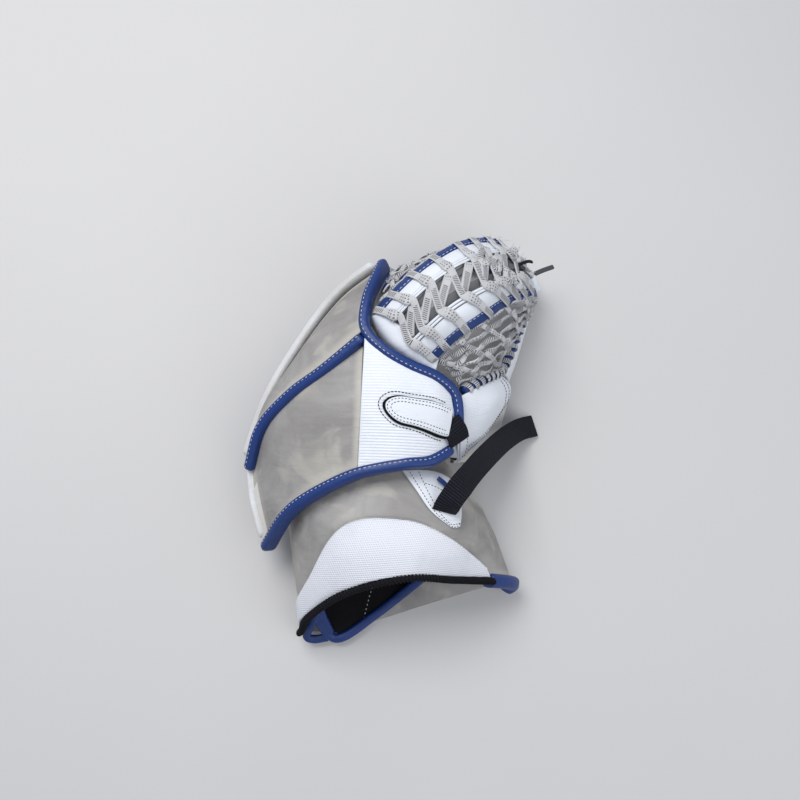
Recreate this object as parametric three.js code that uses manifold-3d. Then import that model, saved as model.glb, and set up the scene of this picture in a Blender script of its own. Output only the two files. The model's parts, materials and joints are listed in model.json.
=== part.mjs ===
// Goalie catch glove for the left hand, lying on its catching face with the back of the hand up.
// Millimetres, +Z up. +Y runs from the cuff mouth to the tip of the pocket, +X from the fingers to the thumb.
import * as THREE from "three";
import { mergeVertices } from "three/addons/utils/BufferGeometryUtils.js";
import Module from "manifold-3d";

const wasm = await Module();
wasm.setup();

// ---------------------------------------------------------------- driving dimensions
// Middle of the glove's plan in the coordinates below; the origin goes under it.
const PLAN_CENTRE = [14, -3.3];
const GAP = 0.4; // clearance that a piece keeps to the one that cuts it
const COVER = 2.0; // leather cover
const BOARD = 2.0; // plastic stiffener under the foam
const FOAM = 7.0; // foam of the back panels
const THUMB_FOAM = 6;
const CUFF_FOAM = 5;
const FACE_HALF = 3; // half the thickness of a padded panel of the catching face
const EDGE = 0.35; // play between the layers of one panel
const FACET = 0.14; // how far a facet may stand off the cut surface
const LAYER_PLAY = 1.5; // play between a cover and the smaller foam under it
const INSET = 0.03; // share of its width by which the foam stands back from the cover on each side
const SIDE_GROWTH = 0.012; // share of its width by which a cutting sheet is larger on each side
const BINDING_WIDTH = 9.5; // folded leather over a panel's free edge
const BINDING_DEPTH = 15;
const EDGE_ROLL_WIDTH = 9; // rolled white edges of the back panels
const ROLL_DEPTH = 16; // edge rolls that the glove lies on
const THUMB_ROLL_DEPTH = 13;
const WEBBING = 22; // width of the wrist strap
const WEBBING_THICK = 2.2;
const TEE_THICK = 5; // a tee band: two leathers with felt between them
const NET_THICK = 5; // the laced net as one layer
const STALL_WALL = 2; // cloth of a finger stall
const CUFF_BACK_LINING = -12.6; // height of the lining under the cuff cover
const LINING = 2.2; // cloth lining of the cuff

const LEATHER_GREY = { color: 0xb9b4ae, roughness: 0.62, metalness: 0 };
const LEATHER_WHITE = { color: 0xeef0f4, roughness: 0.55, metalness: 0 };
const LEATHER_BLUE = { color: 0x1c3c9c, roughness: 0.5, metalness: 0 };
const MESH_WHITE = { color: 0xf2f3f7, roughness: 0.8, metalness: 0 };
const CLOTH_BLACK = { color: 0x0d0e12, roughness: 0.85, metalness: 0 };
const WEBBING_BLACK = { color: 0x0a0a0e, roughness: 0.8, metalness: 0 };
const FOAM_GREY = { color: 0x4a4c50, roughness: 0.95, metalness: 0 };
const BOARD_WHITE = { color: 0xd8dade, roughness: 0.4, metalness: 0 };
const LACE = { color: 0xc9c9cc, roughness: 0.75, metalness: 0 };
const TAIL_GREY = { color: 0x55585f, roughness: 0.5, metalness: 0 };

// ---------------------------------------------------------------- curves and surfaces
const vec = (p) => new THREE.Vector3(...p);
const curve = (points) => new THREE.CatmullRomCurve3(points.map(vec), false, "catmullrom", 0.5);

// A smooth surface through a net of points, as a function of (u, v). u runs over the rows, v along a row.
function surface(net) {
  const rows = net.map(curve);
  return (u, v) => {
    const across = new THREE.CatmullRomCurve3(
      rows.map((row) => at(row, v)),
      false,
      "catmullrom",
      0.5,
    );
    return at(across, u);
  };
}

// A point of a curve, carried on straight past its ends.
function at(c, t) {
  if (t >= 0 && t <= 1) return c.getPoint(t);
  const end = t < 0 ? 0 : 1;
  const inside = t < 0 ? 0.01 : 0.99;
  const p = c.getPoint(end);
  return p.clone().add(p.clone().sub(c.getPoint(inside)).multiplyScalar(Math.abs(t - end) / 0.01));
}

// The part of a surface inside a net of (u, v) places, again as a function of (s, t).
function region(base, uvNet) {
  const uv = surface(uvNet.map((row) => row.map(([u, v]) => [u, v, 0])));
  return (s, t) => {
    const p = uv(s, t);
    return base(p.x, p.y);
  };
}

function normal(f, u, v) {
  const d = 0.004;
  const du = f(u + d, v).sub(f(u - d, v));
  const dv = f(u, v + d).sub(f(u, v - d));
  return du.cross(dv).normalize();
}

// ---------------------------------------------------------------- solids
// A closed skin over rings of points, each ring with the same count, capped by a fan or by a strip.
function skin(rings, cap) {
  const count = rings[0].length;
  const positions = rings.flat().flatMap((p) => [p.x, p.y, p.z]);
  const index = [];
  for (let i = 0; i + 1 < rings.length; i++)
    for (let j = 0; j < count; j++) {
      const [a, b] = [i * count + j, i * count + ((j + 1) % count)];
      if (j < count / 2) index.push(a, a + count, b, b, a + count, b + count);
      else index.push(a, a + count, b + count, a, b + count, b);
    }
  const last = (rings.length - 1) * count;
  for (const [a, b, c] of cap(count)) {
    index.push(a, b, c);
    index.push(last + c, last + b, last + a);
  }
  const g = new THREE.BufferGeometry();
  g.setAttribute("position", new THREE.Float32BufferAttribute(positions, 3));
  g.setIndex(index);
  return g;
}
const fan = (count) => Array.from({ length: count - 2 }, (_, k) => [0, k + 1, k + 2]);
const strip = (count) => {
  const found = [];
  for (let j = 0; j < count / 2 - 1; j++) {
    const [a, b, c, d] = [j, j + 1, count - 2 - j, count - 1 - j];
    found.push([a, b, c], [a, c, d]);
  }
  return found;
};

function manifold(geometry) {
  const g = mergeVertices(geometry, 1e-3);
  const make = (triVerts) =>
    new wasm.Manifold(
      new wasm.Mesh({ numProp: 3, vertProperties: g.attributes.position.array, triVerts }),
    );
  const forward = new Uint32Array(g.index.array);
  const made = make(forward);
  if (made.volume() > 0) return made;
  return make(forward.map((_, k) => forward[k % 3 === 0 ? k : k % 3 === 1 ? k + 1 : k - 1]));
}

// A sheet that follows a surface, from its height top down to its height low, along the normal.
function sheet(f, top, low, nu, nv, grow = 0) {
  const places = (n) => {
    const inside = Array.from({ length: n + 1 }, (_, i) => i / n);
    return grow ? [-SIDE_GROWTH, ...inside, 1 + SIDE_GROWTH] : inside;
  };
  const rings = places(nu).map((u) => {
    const upper = [];
    const lower = [];
    for (const v of places(nv)) {
      const n = normal(f, u, v);
      const high = typeof top === "function" ? top(u, v) : top;
      upper.push(f(u, v).addScaledVector(n, high + grow));
      lower.unshift(f(u, v).addScaledVector(n, low - grow));
    }
    return [...upper, ...lower];
  });
  return manifold(skin(rings, strip));
}

// A rod of oval section along a curve. Its width lies across the curve and the given up direction.
function sweep(points, width, height, steps, up = [0, 0, 1], sides = 8, grow = 0) {
  const c = curve(points);
  const ups = Array.isArray(up[0]) ? up : [up, up];
  const upCurve = curve(ups);
  const rings = [];
  for (let i = 0; i <= steps; i++) {
    const t = i / steps;
    const tangent = c.getTangent(t);
    const across = new THREE.Vector3().crossVectors(tangent, at(upCurve, t)).normalize();
    const lift = new THREE.Vector3().crossVectors(across, tangent).normalize();
    const centre = c.getPoint(t);
    if (grow && i === 0) centre.addScaledVector(tangent, -grow);
    if (grow && i === steps) centre.addScaledVector(tangent, grow);
    rings.push(
      Array.from({ length: sides }, (_, k) => {
        const a = (2 * Math.PI * (k + 0.5)) / sides;
        return centre
          .clone()
          .addScaledVector(across, (width / 2 + grow) * Math.cos(a))
          .addScaledVector(lift, (height / 2 + grow) * Math.sin(a));
      }),
    );
  }
  return manifold(skin(rings, fan));
}

// Height of a swept rod's centre when its flat underside lies on the floor.
const onFloor = (height) => (height / 2) * Math.sin((3 * Math.PI) / 8);

// ---------------------------------------------------------------- the glove's surfaces
// Every net runs left to right in u and from the cuff towards the fingers in v.
const BACKHAND = surface([
  [[-111, -101, 46], [-121, -60, 45], [-128, -22, 42]],
  [[-90, -73, 76], [-100, -26, 78], [-106, 22, 70]],
  [[-68, -55, 92], [-74, -2, 100], [-76, 50, 92]],
  [[-46, -43, 103], [-48, 12, 113], [-46, 70, 107]],
  [[-27, -35, 110], [-24, 24, 122], [-22, 80, 116]],
]);
const KNUCKLES = surface([
  [[-26, -35, 110], [-23, 22, 123], [-20, 78, 125]],
  [[-6, -30, 115], [-6, 20, 127], [-4, 64, 128]],
  [[14, -27, 116], [16, 15, 126], [18, 51, 126]],
  [[36, -24, 111], [40, 12, 121], [42, 41, 121]],
  [[56, -13, 103], [59, 8, 108], [56, 29, 112]],
]);
const FINGERS = surface([
  [[-128, -17, 34], [-109, 36, 41], [-78, 87, 47], [-42, 130, 61], [-3, 152, 90]],
  [[-129, -21, 41], [-113, 29, 54], [-82, 72, 68], [-47, 109, 84], [-10, 136, 105]],
  [[-129, -25, 47], [-114, 20, 63], [-84, 56, 83], [-51, 84, 99], [-18, 112, 117]],
  [[-127, -29, 52], [-114, 9, 71], [-86, 36, 92], [-55, 57, 109], [-22, 84, 125]],
]);
const FINGER_FACE = surface([
  [[-110, -50, 10], [-126, -12, 10], [-103, 48, 10], [-69, 98, 10], [-30, 134, 10]],
  [[-98, -46, 20], [-110, -12, 22], [-90, 40, 24], [-58, 84, 26], [-20, 120, 30]],
  [[-86, -44, 29], [-92, -12, 31], [-74, 34, 35], [-45, 74, 42], [-14, 106, 54]],
]);
const FINGER_WALL = surface([
  [[-113, -52, 18], [-130, -12, 18], [-108, 50, 18], [-74, 102, 18], [-36, 138, 20], [-3, 157, 24]],
  [[-114, -52, 26], [-131, -13, 22], [-108, 50, 26], [-74, 102, 30], [-38, 139, 36], [-5, 157, 50]],
  [[-114, -50, 34], [-130, -14, 28], [-106, 50, 34], [-72, 101, 41], [-40, 138, 53], [-7, 155, 77]],
]);
const PALM = surface([
  [[-80, -44, 30], [-86, -8, 31], [-68, 36, 35], [-38, 78, 46]],
  [[-44, -50, 35], [-48, -6, 37], [-38, 38, 42], [-22, 80, 55]],
  [[-4, -52, 37], [-4, 0, 39], [0, 36, 46], [2, 66, 60]],
  [[34, -50, 36], [38, -2, 38], [38, 20, 46], [40, 40, 60]],
]);
const WEB_ROOT = surface([
  [[-16, 108, 62], [-18, 103, 90], [-14, 99, 113], [-7, 103, 119]],
  [[2, 78, 70], [-2, 76, 96], [1, 76, 120], [10, 88, 127]],
  [[22, 58, 70], [18, 58, 96], [19, 62, 121], [27, 75, 129]],
  [[44, 46, 70], [42, 44, 92], [42, 48, 115], [45, 59, 119]],
]);
const TEE_FINGER = surface([
  [
    [-8, 104, 116], [12, 124, 124], [37, 145, 126], [67, 166, 113],
    [98, 179, 84], [118, 181, 50], [126, 175, 18],
  ],
  [
    [-1, 97.5, 123.5], [18, 116, 133.5], [41, 135, 136.5], [69, 154, 126],
    [100, 168, 99], [123, 172, 62], [134, 168, 20],
  ],
  [
    [6, 91, 127], [24, 108, 139], [44, 125, 142], [71, 143, 134],
    [101, 158, 110], [127, 162, 73], [140, 160, 24],
  ],
]);
const TEE_THUMB = surface([
  [
    [21, 75, 131], [40, 91, 144], [58, 105, 146], [84, 121, 137],
    [109, 135, 113], [131, 148, 77], [143, 150, 26],
  ],
  [
    [31, 68, 129], [50, 85, 142], [70, 99, 142], [95, 117, 128],
    [119, 131, 101], [139, 144, 63], [148, 146, 20],
  ],
  [
    [41, 61, 121], [59, 77, 132], [81, 92, 131], [105, 111, 113],
    [128, 126, 84], [145, 138, 48], [151, 141, 14],
  ],
]);
const NET_THUMB = surface([
  [[47, 56, 114], [65, 71, 126], [87, 87, 124], [110, 106, 106], [132, 120, 78], [148, 131, 44]],
  [[57, 46, 107], [76, 57, 112], [97, 70, 105], [116, 86, 84], [131, 105, 58], [143, 119, 42]],
  [[66, 38.5, 98], [83, 46, 88], [101.5, 57, 69], [115, 75, 52], [125, 98, 47], [135, 117, 45]],
]);
const NET_FINGER = surface([
  [[4, 158, 70], [16, 168, 40], [44, 176, 24], [78, 180, 20], [112, 178, 18]],
  [[-2, 136, 98], [16, 152, 94], [44, 169, 82], [77, 181, 62], [109, 186, 38]],
  [[-9, 110, 112], [9, 128, 119], [35, 150, 121], [66, 171, 108], [98, 184, 80]],
]);
const THUMB_BACK = surface([
  [[64, -30, 83], [63, -9, 95], [65, 12, 100], [67, 31, 98]],
  [[74, -19, 75], [77, 1, 86], [80, 20, 91], [81, 39, 91]],
  [[91, -3, 63], [97, 14, 72], [100, 30, 77], [96, 47, 78]],
  [[116, 30, 45], [120, 39, 45], [119, 49, 49], [108, 57, 61]],
]);
const THUMB_FACE = surface([
  [[62, -26, 44], [68, 2, 46], [75, 22, 50], [84, 38, 56]],
  [[78, -24, 30], [90, 4, 30], [98, 28, 34], [101, 46, 42]],
  [[90, -22, 12], [110, 6, 10], [121, 38, 10], [117, 52, 22]],
]);
const THUMB_RIM_BOARD = surface([
  [[113, 61, 44], [123, 84, 38], [132, 108, 34], [143, 128, 32]],
  [[121, 57, 28], [131, 82, 23], [140, 108, 20], [149, 130, 19]],
  [[123, 53, 10], [134, 80, 7], [143, 108, 6], [151, 132, 6]],
]);
const CUFF = surface([
  [[-80, -181, 12], [-87, -130, 18], [-93, -78, 30]],
  [[-74, -167, 40], [-80, -118, 52], [-86, -56, 54]],
  [[-48, -146, 70], [-56, -100, 82], [-62, -42, 74]],
  [[-14, -131, 92], [-20, -88, 99], [-26, -24, 84]],
  [[22, -126, 97], [20, -82, 102], [14, -17, 87]],
  [[60, -129, 82], [54, -84, 94], [46, -20, 83]],
  [[92, -132, 58], [80, -88, 72], [66, -44, 64]],
  [[114, -134, 38], [99, -94, 48], [82, -60, 44]],
  [[120, -137, 22], [107, -100, 26], [92, -66, 30]],
]);
// Outline of the cuff's palm board on the floor, from the left corner at the mouth, right round.
const CUFF_FLOOR = [
  [-78, -186],
  [-36, -184],
  [36, -162],
  [100, -144],
  [106, -138],
  [90, -72],
  [60, -64],
  [-70, -72],
  [-84, -84],
];

// ---------------------------------------------------------------- the pieces
const solids = new Map();
const glove = new THREE.Group();

const largest = (solid) => solid.decompose().reduce((a, b) => (a.volume() > b.volume() ? a : b));

// Adds a piece: its solid, less the pieces named in cutBy grown by the gap. Slivers are dropped.
function piece(name, finish, make, cutBy = []) {
  let solid = make(0);
  for (const other of cutBy) solid = solid.subtract(solids.get(other)(GAP));
  solids.set(name, make);
  const m = largest(largest(solid).simplify(FACET)).getMesh();
  const g = new THREE.BufferGeometry();
  g.setAttribute("position", new THREE.Float32BufferAttribute(m.vertProperties, 3));
  g.setIndex(new THREE.BufferAttribute(m.triVerts, 1));
  const mesh = new THREE.Mesh(g, new THREE.MeshStandardMaterial(finish));
  mesh.name = name;
  glove.add(mesh);
}
const layer = (f, top, low, nu, nv) => (grow) => sheet(f, top, low, nu, nv, grow);
const rod = (points, width, height, steps, up, sides) => (grow) =>
  sweep(points, width, height, steps, up, sides, grow);

// The three layers of a back panel: cover, foam and stiffener. The panel cuts other pieces as one body.
function panel(name, f, finish, foam, nu, nv, cutBy = []) {
  const inner = region(f, [
    [[INSET, INSET], [INSET, 0.5], [INSET, 1 - INSET]],
    [[0.5, INSET], [0.5, 0.5], [0.5, 1 - INSET]],
    [[1 - INSET, INSET], [1 - INSET, 0.5], [1 - INSET, 1 - INSET]],
  ]);
  const under = COVER + LAYER_PLAY;
  const deep = under + foam + EDGE;
  piece(name + "_cover", finish, layer(f, 0, -COVER, nu, nv), cutBy);
  piece(name + "_foam", FOAM_GREY, layer(inner, -under, -under - foam, nu, nv), cutBy);
  piece(name + "_board", BOARD_WHITE, layer(inner, -deep, -deep - BOARD, nu, nv), cutBy);
  solids.set(name, layer(f, 0, -deep - BOARD - LAYER_PLAY, nu, nv));
}

// Finger guard: the top layer over the fingers, with its seam overlapping the back of the hand.
panel("finger_guard", FINGERS, LEATHER_GREY, FOAM, 5, 8);
panel("knuckle", KNUCKLES, LEATHER_WHITE, FOAM, 6, 5, ["finger_guard"]);
panel("backhand", BACKHAND, LEATHER_GREY, FOAM, 6, 5, ["finger_guard", "knuckle"]);

// Rolled white edges of the finger guard and of the back of the hand.
piece(
  "finger_guard_edge_roll",
  LEATHER_WHITE,
  rod(
    [[-132, -19, 30], [-113, 36, 35], [-82, 89, 41], [-46, 134, 54], [-9, 156, 80]],
    EDGE_ROLL_WIDTH, ROLL_DEPTH, 10, [-0.5, 0.3, 0.8],
  ),
  ["finger_guard", "backhand"],
);
piece(
  "backhand_edge_roll",
  LEATHER_WHITE,
  rod(
    [[-112, -95, 42], [-122, -60, 39], [-126, -30, 38]],
    EDGE_ROLL_WIDTH + 1, ROLL_DEPTH - 2, 5, [-0.5, 0, 0.85],
  ),
  ["backhand", "finger_guard", "finger_guard_edge_roll"],
);

// Folded blue bindings over the free edges.
piece(
  "wrist_edge_binding",
  LEATHER_BLUE,
  rod(
    [
      [-111, -105, 42], [-91, -76, 71], [-68, -58, 87], [-27, -39, 105],
      [14, -31, 111], [38, -28, 106], [57, -17, 98],
    ],
    BINDING_WIDTH, BINDING_DEPTH, 14, [[-0.6, 0.2, 0.8], [0, 0, 1]],
  ),
  ["backhand", "knuckle", "backhand_edge_roll"],
);
piece(
  "finger_seam_binding",
  LEATHER_BLUE,
  rod(
    [[-127, -32, 46], [-114, 5, 65], [-86, 32, 87], [-55, 52, 104], [-25, 76, 119]],
    BINDING_WIDTH, BINDING_DEPTH, 10, [-0.45, 0.35, 0.8],
  ),
  ["finger_guard", "backhand", "knuckle", "finger_guard_edge_roll", "backhand_edge_roll"],
);
piece(
  "pocket_rim_binding",
  LEATHER_BLUE,
  rod(
    [
      [-1, 156, 84], [-8, 138, 99], [-17, 113, 112], [-19, 86, 120], [-3, 67, 123],
      [19, 54, 121], [43, 44, 116], [59, 30, 107], [62, 8, 103], [60, -9, 99],
    ],
    BINDING_WIDTH, BINDING_DEPTH, 18, [[-0.5, 0.4, 0.8], [0, 0, 1], [0.2, 0, 1]],
  ),
  [
    "finger_guard", "knuckle", "backhand", "finger_seam_binding", "wrist_edge_binding",
    "finger_guard_edge_roll",
  ],
);

// Catching face: finger side, palm and the wall that the tee is sewn to.
piece("finger_face_panel", LEATHER_WHITE, layer(FINGER_FACE, FACE_HALF, -FACE_HALF, 4, 7), ["finger_guard"]);
piece("finger_side_wall", LEATHER_WHITE, layer(FINGER_WALL, 1.5, -1.5, 2, 8), [
  "finger_guard", "finger_guard_edge_roll", "finger_face_panel",
]);
piece("palm_leather", LEATHER_GREY, layer(PALM, 2, -2, 5, 5), ["finger_face_panel"]);
piece("palm_lining", CLOTH_BLACK, layer(PALM, 5, 2.4, 5, 5), ["finger_face_panel"]);
piece("web_wall", LEATHER_WHITE, layer(WEB_ROOT, 0, -3, 6, 6), [
  "pocket_rim_binding", "finger_guard", "knuckle", "palm_leather", "palm_lining", "finger_face_panel",
]);
piece(
  "finger_perimeter_roll",
  LEATHER_BLUE,
  rod(
    [
      [-112, -54], [-130, -14], [-107, 50], [-73, 102], [-34, 139],
      [8, 163], [50, 176], [92, 180], [124, 172], [140, 158],
    ].map(([x, y]) => [x, y, onFloor(ROLL_DEPTH)]),
    11, ROLL_DEPTH, 22,
  ),
  ["finger_face_panel", "finger_side_wall"],
);

// Pocket: two tee bands with their bindings and pipings, the nets beside them and the lace between them.
const TEE_RODS = [0, 0.17, 0.34, 0.5, 0.67, 0.82];
function band(side, f, outerU) {
  const innerU = 1 - outerU;
  const middle = -TEE_THICK / 2 - 1;
  const follow = (u) => TEE_RODS.map((v) => f(u, v).addScaledVector(normal(f, u, v), middle).toArray());
  const walls = ["tee_band_" + side, "web_wall", "pocket_rim_binding", "finger_perimeter_roll"];
  piece("tee_band_" + side, LEATHER_WHITE, layer(f, 0, -TEE_THICK, 3, 12), walls.slice(1));
  piece("tee_binding_" + side, LEATHER_BLUE, rod(follow(outerU), 10, 9, 14, [0, 0, 1]), walls);
  piece("tee_piping_" + side, LEATHER_WHITE, rod(follow(innerU), 6, 8, 14, [0, 0, 1]), walls);
}
band("finger_side", TEE_FINGER, 0);
band("thumb_side", TEE_THUMB, 1);
const TEE = ["tee_band_", "tee_binding_", "tee_piping_"].flatMap((p) => [
  p + "finger_side", p + "thumb_side",
]);
// The lacing fills the gap between the bands' inner edges. share runs from the finger side to the thumb side.
const gapLine = (share) =>
  TEE_RODS.map((v) => TEE_FINGER(1, v).lerp(TEE_THUMB(0, v), share).sub(vec([0, 0, 3])).toArray());
piece(
  "tee_centre_lacing",
  LACE,
  layer(surface([gapLine(0.28), gapLine(0.72)]), 0, -4, 2, 10),
  [...TEE, "web_wall"],
);
piece(
  "tip_bar",
  LEATHER_WHITE,
  rod([[124, 182, 20], [136, 172, 24], [145, 160, 24], [152, 146, 20]], 9, 26, 6),
  [...TEE, "finger_perimeter_roll", "tee_centre_lacing"],
);
piece("tip_knot", LACE, rod([[118, 168, 92], [131, 160, 84], [140, 150, 66]], 16, 12, 5), [
  ...TEE, "tee_centre_lacing", "tip_bar",
]);
piece("lace_tail", TAIL_GREY, rod([[143, 154, 62], [152, 159, 57], [164, 165, 50]], 5, 3, 4), [
  ...TEE, "tip_knot", "tip_bar",
]);
piece("net_finger_side", LACE, layer(NET_FINGER, 0, -NET_THICK, 5, 8), [
  ...TEE, "finger_perimeter_roll", "web_wall", "pocket_rim_binding", "finger_guard",
  "finger_guard_edge_roll", "tip_bar", "finger_face_panel",
]);

// Inside the hand: stalls for the four fingers, each open towards the wrist.
function stall(name, from, to, width, cutBy) {
  piece(name, CLOTH_BLACK, (grow) => {
    const outer = sweep([from, to], width, width, 3, [0, 0, 1], 8, grow);
    const back = from.map((v, k) => v - (to[k] - from[k]) * 0.2);
    const tip = from.map((v, k) => v + (to[k] - from[k]) * 0.9);
    const hollow = width - 2 * STALL_WALL;
    return grow ? outer : outer.subtract(sweep([back, tip], hollow, hollow, 3));
  }, cutBy);
}
const HAND_WALLS = [
  "backhand", "knuckle", "finger_guard", "palm_lining", "palm_leather", "finger_face_panel", "web_wall",
];
stall("stall_little", [-88, -6, 60], [-88, 34, 54], 15, HAND_WALLS);
stall("stall_ring", [-70, 0, 70], [-66, 52, 68], 17, [...HAND_WALLS, "stall_little"]);
stall("stall_middle", [-51, 6, 78], [-44, 66, 80], 18, [...HAND_WALLS, "stall_ring"]);
stall("stall_index", [-31, 10, 82], [-27, 70, 88], 18, [...HAND_WALLS, "stall_middle"]);

// Thumb: back panel, catching face, rim board and stall.
panel("thumb", THUMB_BACK, LEATHER_WHITE, THUMB_FOAM, 6, 6, ["pocket_rim_binding"]);
piece("thumb_face_panel", LEATHER_WHITE, layer(THUMB_FACE, FACE_HALF, -FACE_HALF, 4, 5), ["thumb"]);
piece("thumb_rim_board", LEATHER_WHITE, layer(THUMB_RIM_BOARD, 0, -4, 3, 6), [
  "thumb", "thumb_face_panel", "tip_bar", ...TEE,
]);
piece(
  "thumb_rim_binding",
  LEATHER_BLUE,
  rod(
    [
      [67, 35, 94], [84, 46, 84], [98, 54, 70], [109, 62, 52],
      [121, 84, 42], [131, 108, 38], [141, 127, 36],
    ],
    8, 11, 14, [[0, 0, 1], [0.3, 0, 1]],
  ),
  ["thumb", "thumb_rim_board", "thumb_face_panel", ...TEE],
);
piece(
  "thumb_face_binding",
  LEATHER_BLUE,
  rod(
    [[84, -25], [96, -22], [110, 4], [120, 36], [119, 50]].map(([x, y]) => [x, y, onFloor(THUMB_ROLL_DEPTH)]),
    9, THUMB_ROLL_DEPTH, 8,
  ),
  ["thumb_face_panel", "thumb_rim_board", "thumb"],
);
stall("thumb_stall", [72, -2, 64], [98, 32, 52], 18, ["thumb", "thumb_face_panel"]);
piece("net_thumb_side", LACE, layer(NET_THUMB, 0, -NET_THICK, 4, 10), [
  ...TEE, "thumb", "thumb_rim_board", "thumb_rim_binding", "web_wall", "pocket_rim_binding",
  "tip_bar", "finger_perimeter_roll",
]);

// Hand adjustment: a stitched seat on the knuckles, the tab over it and the elastic to the thumb.
const TAB_SEAT = region(KNUCKLES, [
  [[0.27, 0.33], [0.25, 0.49], [0.27, 0.65]],
  [[0.59, 0.29], [0.59, 0.48], [0.59, 0.68]],
  [[0.91, 0.15], [0.92, 0.42], [0.93, 0.7]],
]);
piece("tab_seat", CLOTH_BLACK, layer(TAB_SEAT, 1.6, 0.4, 5, 3), ["pocket_rim_binding", "wrist_edge_binding"]);
const HAND_TAB = region(KNUCKLES, [
  [[0.32, 0.37], [0.3, 0.49], [0.32, 0.61]],
  [[0.61, 0.33], [0.61, 0.48], [0.61, 0.64]],
  [[0.91, 0.2], [0.92, 0.42], [0.93, 0.65]],
]);
piece("hand_tab", LEATHER_WHITE, layer(HAND_TAB, 5, 2, 5, 3), ["pocket_rim_binding", "wrist_edge_binding"]);

// Its free end is sewn to the thumb, so it bends when the thumb or the tab moves.
const ELASTIC_PATH = [[53, 6, 112.5], [57, 1, 112.5], [61, -5, 109.5], [63.5, -12, 102.5]];
const ELASTIC_UP = [[0, 0, 1], [0.4, -0.2, 1], [0.6, -0.4, 1]];
piece("tab_elastic", WEBBING_BLACK, rod(ELASTIC_PATH, WEBBING, 1.6, 6, ELASTIC_UP), [
  "hand_tab", "tab_seat", "pocket_rim_binding", "wrist_edge_binding", "knuckle", "thumb",
]);

// Cuff: outer cover, foam, board, pad over the wrist, linings and palm board.
panel("cuff", CUFF, LEATHER_GREY, CUFF_FOAM, 12, 5);
const PAD = region(CUFF, [
  [[0.03, 0.0], [0.04, 0.09], [0.05, 0.18]],
  [[0.16, 0.0], [0.17, 0.16], [0.18, 0.31]],
  [[0.3, 0.0], [0.31, 0.29], [0.32, 0.58]],
  [[0.48, 0.0], [0.48, 0.27], [0.48, 0.54]],
  [[0.62, 0.0], [0.62, 0.2], [0.62, 0.4]],
  [[0.76, 0.0], [0.755, 0.06], [0.75, 0.12]],
]);
const PAD_EDGE = 2.5; // height of the pad's face at its seams
const PAD_CROWN = 6; // and how much higher its middle is
function crown(s, t) {
  const along = Math.sin(Math.PI * Math.min(1, Math.max(0, s)));
  return PAD_EDGE + PAD_CROWN * along * Math.sin(Math.PI * (0.15 + 0.7 * t));
}
piece("cuff_pad", MESH_WHITE, layer(PAD, crown, 1.7, 10, 3));
piece("cuff_pad_binding", CLOTH_BLACK, (grow) => {
  const line = [0.03, 0.16, 0.3, 0.48, 0.62, 0.76].map((u) => CUFF(u, -0.02).toArray());
  return sweep(line, 6, 18, 14, [0, 0, 1], 8, grow);
}, ["cuff", "cuff_pad"]);
const PATCH = region(CUFF, [
  [[0.625, 0.49], [0.565, 0.59], [0.525, 0.73], [0.49, 0.86]],
  [[0.64, 0.485], [0.62, 0.6], [0.6, 0.73], [0.59, 0.86]],
  [[0.66, 0.5], [0.68, 0.61], [0.69, 0.73], [0.69, 0.84]],
]);
piece("strap_patch", LEATHER_WHITE, layer(PATCH, 3.4, 1.7, 4, 3));

// The cuff's palm side, a flat plate drawn in by inset from its outline.
const FLOOR_HALF = [90, 60]; // half the outline's width and length
const FLOOR_MIDDLE = -125; // the outline's middle in y
function floorPlate(low, high, inset) {
  const corners = CUFF_FLOOR.map(([x, y]) => {
    const across = x * (1 - inset / FLOOR_HALF[0]);
    return new THREE.Vector2(across, FLOOR_MIDDLE + (y - FLOOR_MIDDLE) * (1 - inset / FLOOR_HALF[1]));
  });
  const outline = new THREE.Shape(corners);
  const g = new THREE.ExtrudeGeometry(outline, { depth: high - low, bevelEnabled: false });
  g.translate(0, 0, low);
  g.deleteAttribute("normal");
  g.deleteAttribute("uv");
  return manifold(g);
}
piece("cuff_palm_cover", LEATHER_GREY, (grow) => floorPlate(-grow, 3 + grow, -grow), ["cuff"]);
piece("cuff_palm_board", BOARD_WHITE, (grow) => floorPlate(3.4 - grow, 6 + grow, 3 - grow), ["cuff"]);
const LINER_PALM = surface([
  [[-68, -158, 40], [-74, -112, 44], [-76, -78, 48]],
  [[-63, -176, 18], [-66, -116, 18], [-66, -76, 24]],
  [[-39, -186, 11], [-38, -118, 10], [-36, -72, 22]],
  [[-10, -167, 11], [0, -112, 10], [4, -68, 24]],
  [[14, -149, 13], [36, -104, 12], [42, -66, 26]],
  [[38, -129, 24], [62, -98, 24], [64, -66, 36]],
]);
piece("cuff_liner_palm", CLOTH_BLACK, layer(LINER_PALM, 0, -LINING, 8, 4), ["cuff_palm_board", "cuff"]);
const LINER_BACK = region(CUFF, [0.1, 0.3, 0.55, 0.8].map((u) => [[u, 0.02], [u, 0.98]]));
piece(
  "cuff_liner_back",
  CLOTH_BLACK,
  layer(LINER_BACK, CUFF_BACK_LINING, CUFF_BACK_LINING - LINING, 9, 4),
  ["cuff_liner_palm"],
);
piece(
  "liner_binding",
  LEATHER_BLUE,
  rod(
    [
      [38, -131, 23], [14, -151, 12], [-10, -169, 10],
      [-39, -188.5, 10], [-54, -187, 12], [-67, -164, 30],
    ],
    7, 8, 12,
  ),
  ["cuff_liner_palm", "cuff_palm_board", "cuff_palm_cover", "cuff", "cuff_pad_binding", "cuff_liner_back"],
);
piece(
  "cuff_flare_binding",
  LEATHER_BLUE,
  rod([[98, -135, 50], [113, -138, 36], [119, -141, 22], [116, -144, 12]], 8, 15, 6, [0.6, 0, 0.6]),
  ["cuff", "cuff_palm_cover", "cuff_palm_board", "cuff_pad", "cuff_pad_binding"],
);

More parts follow.
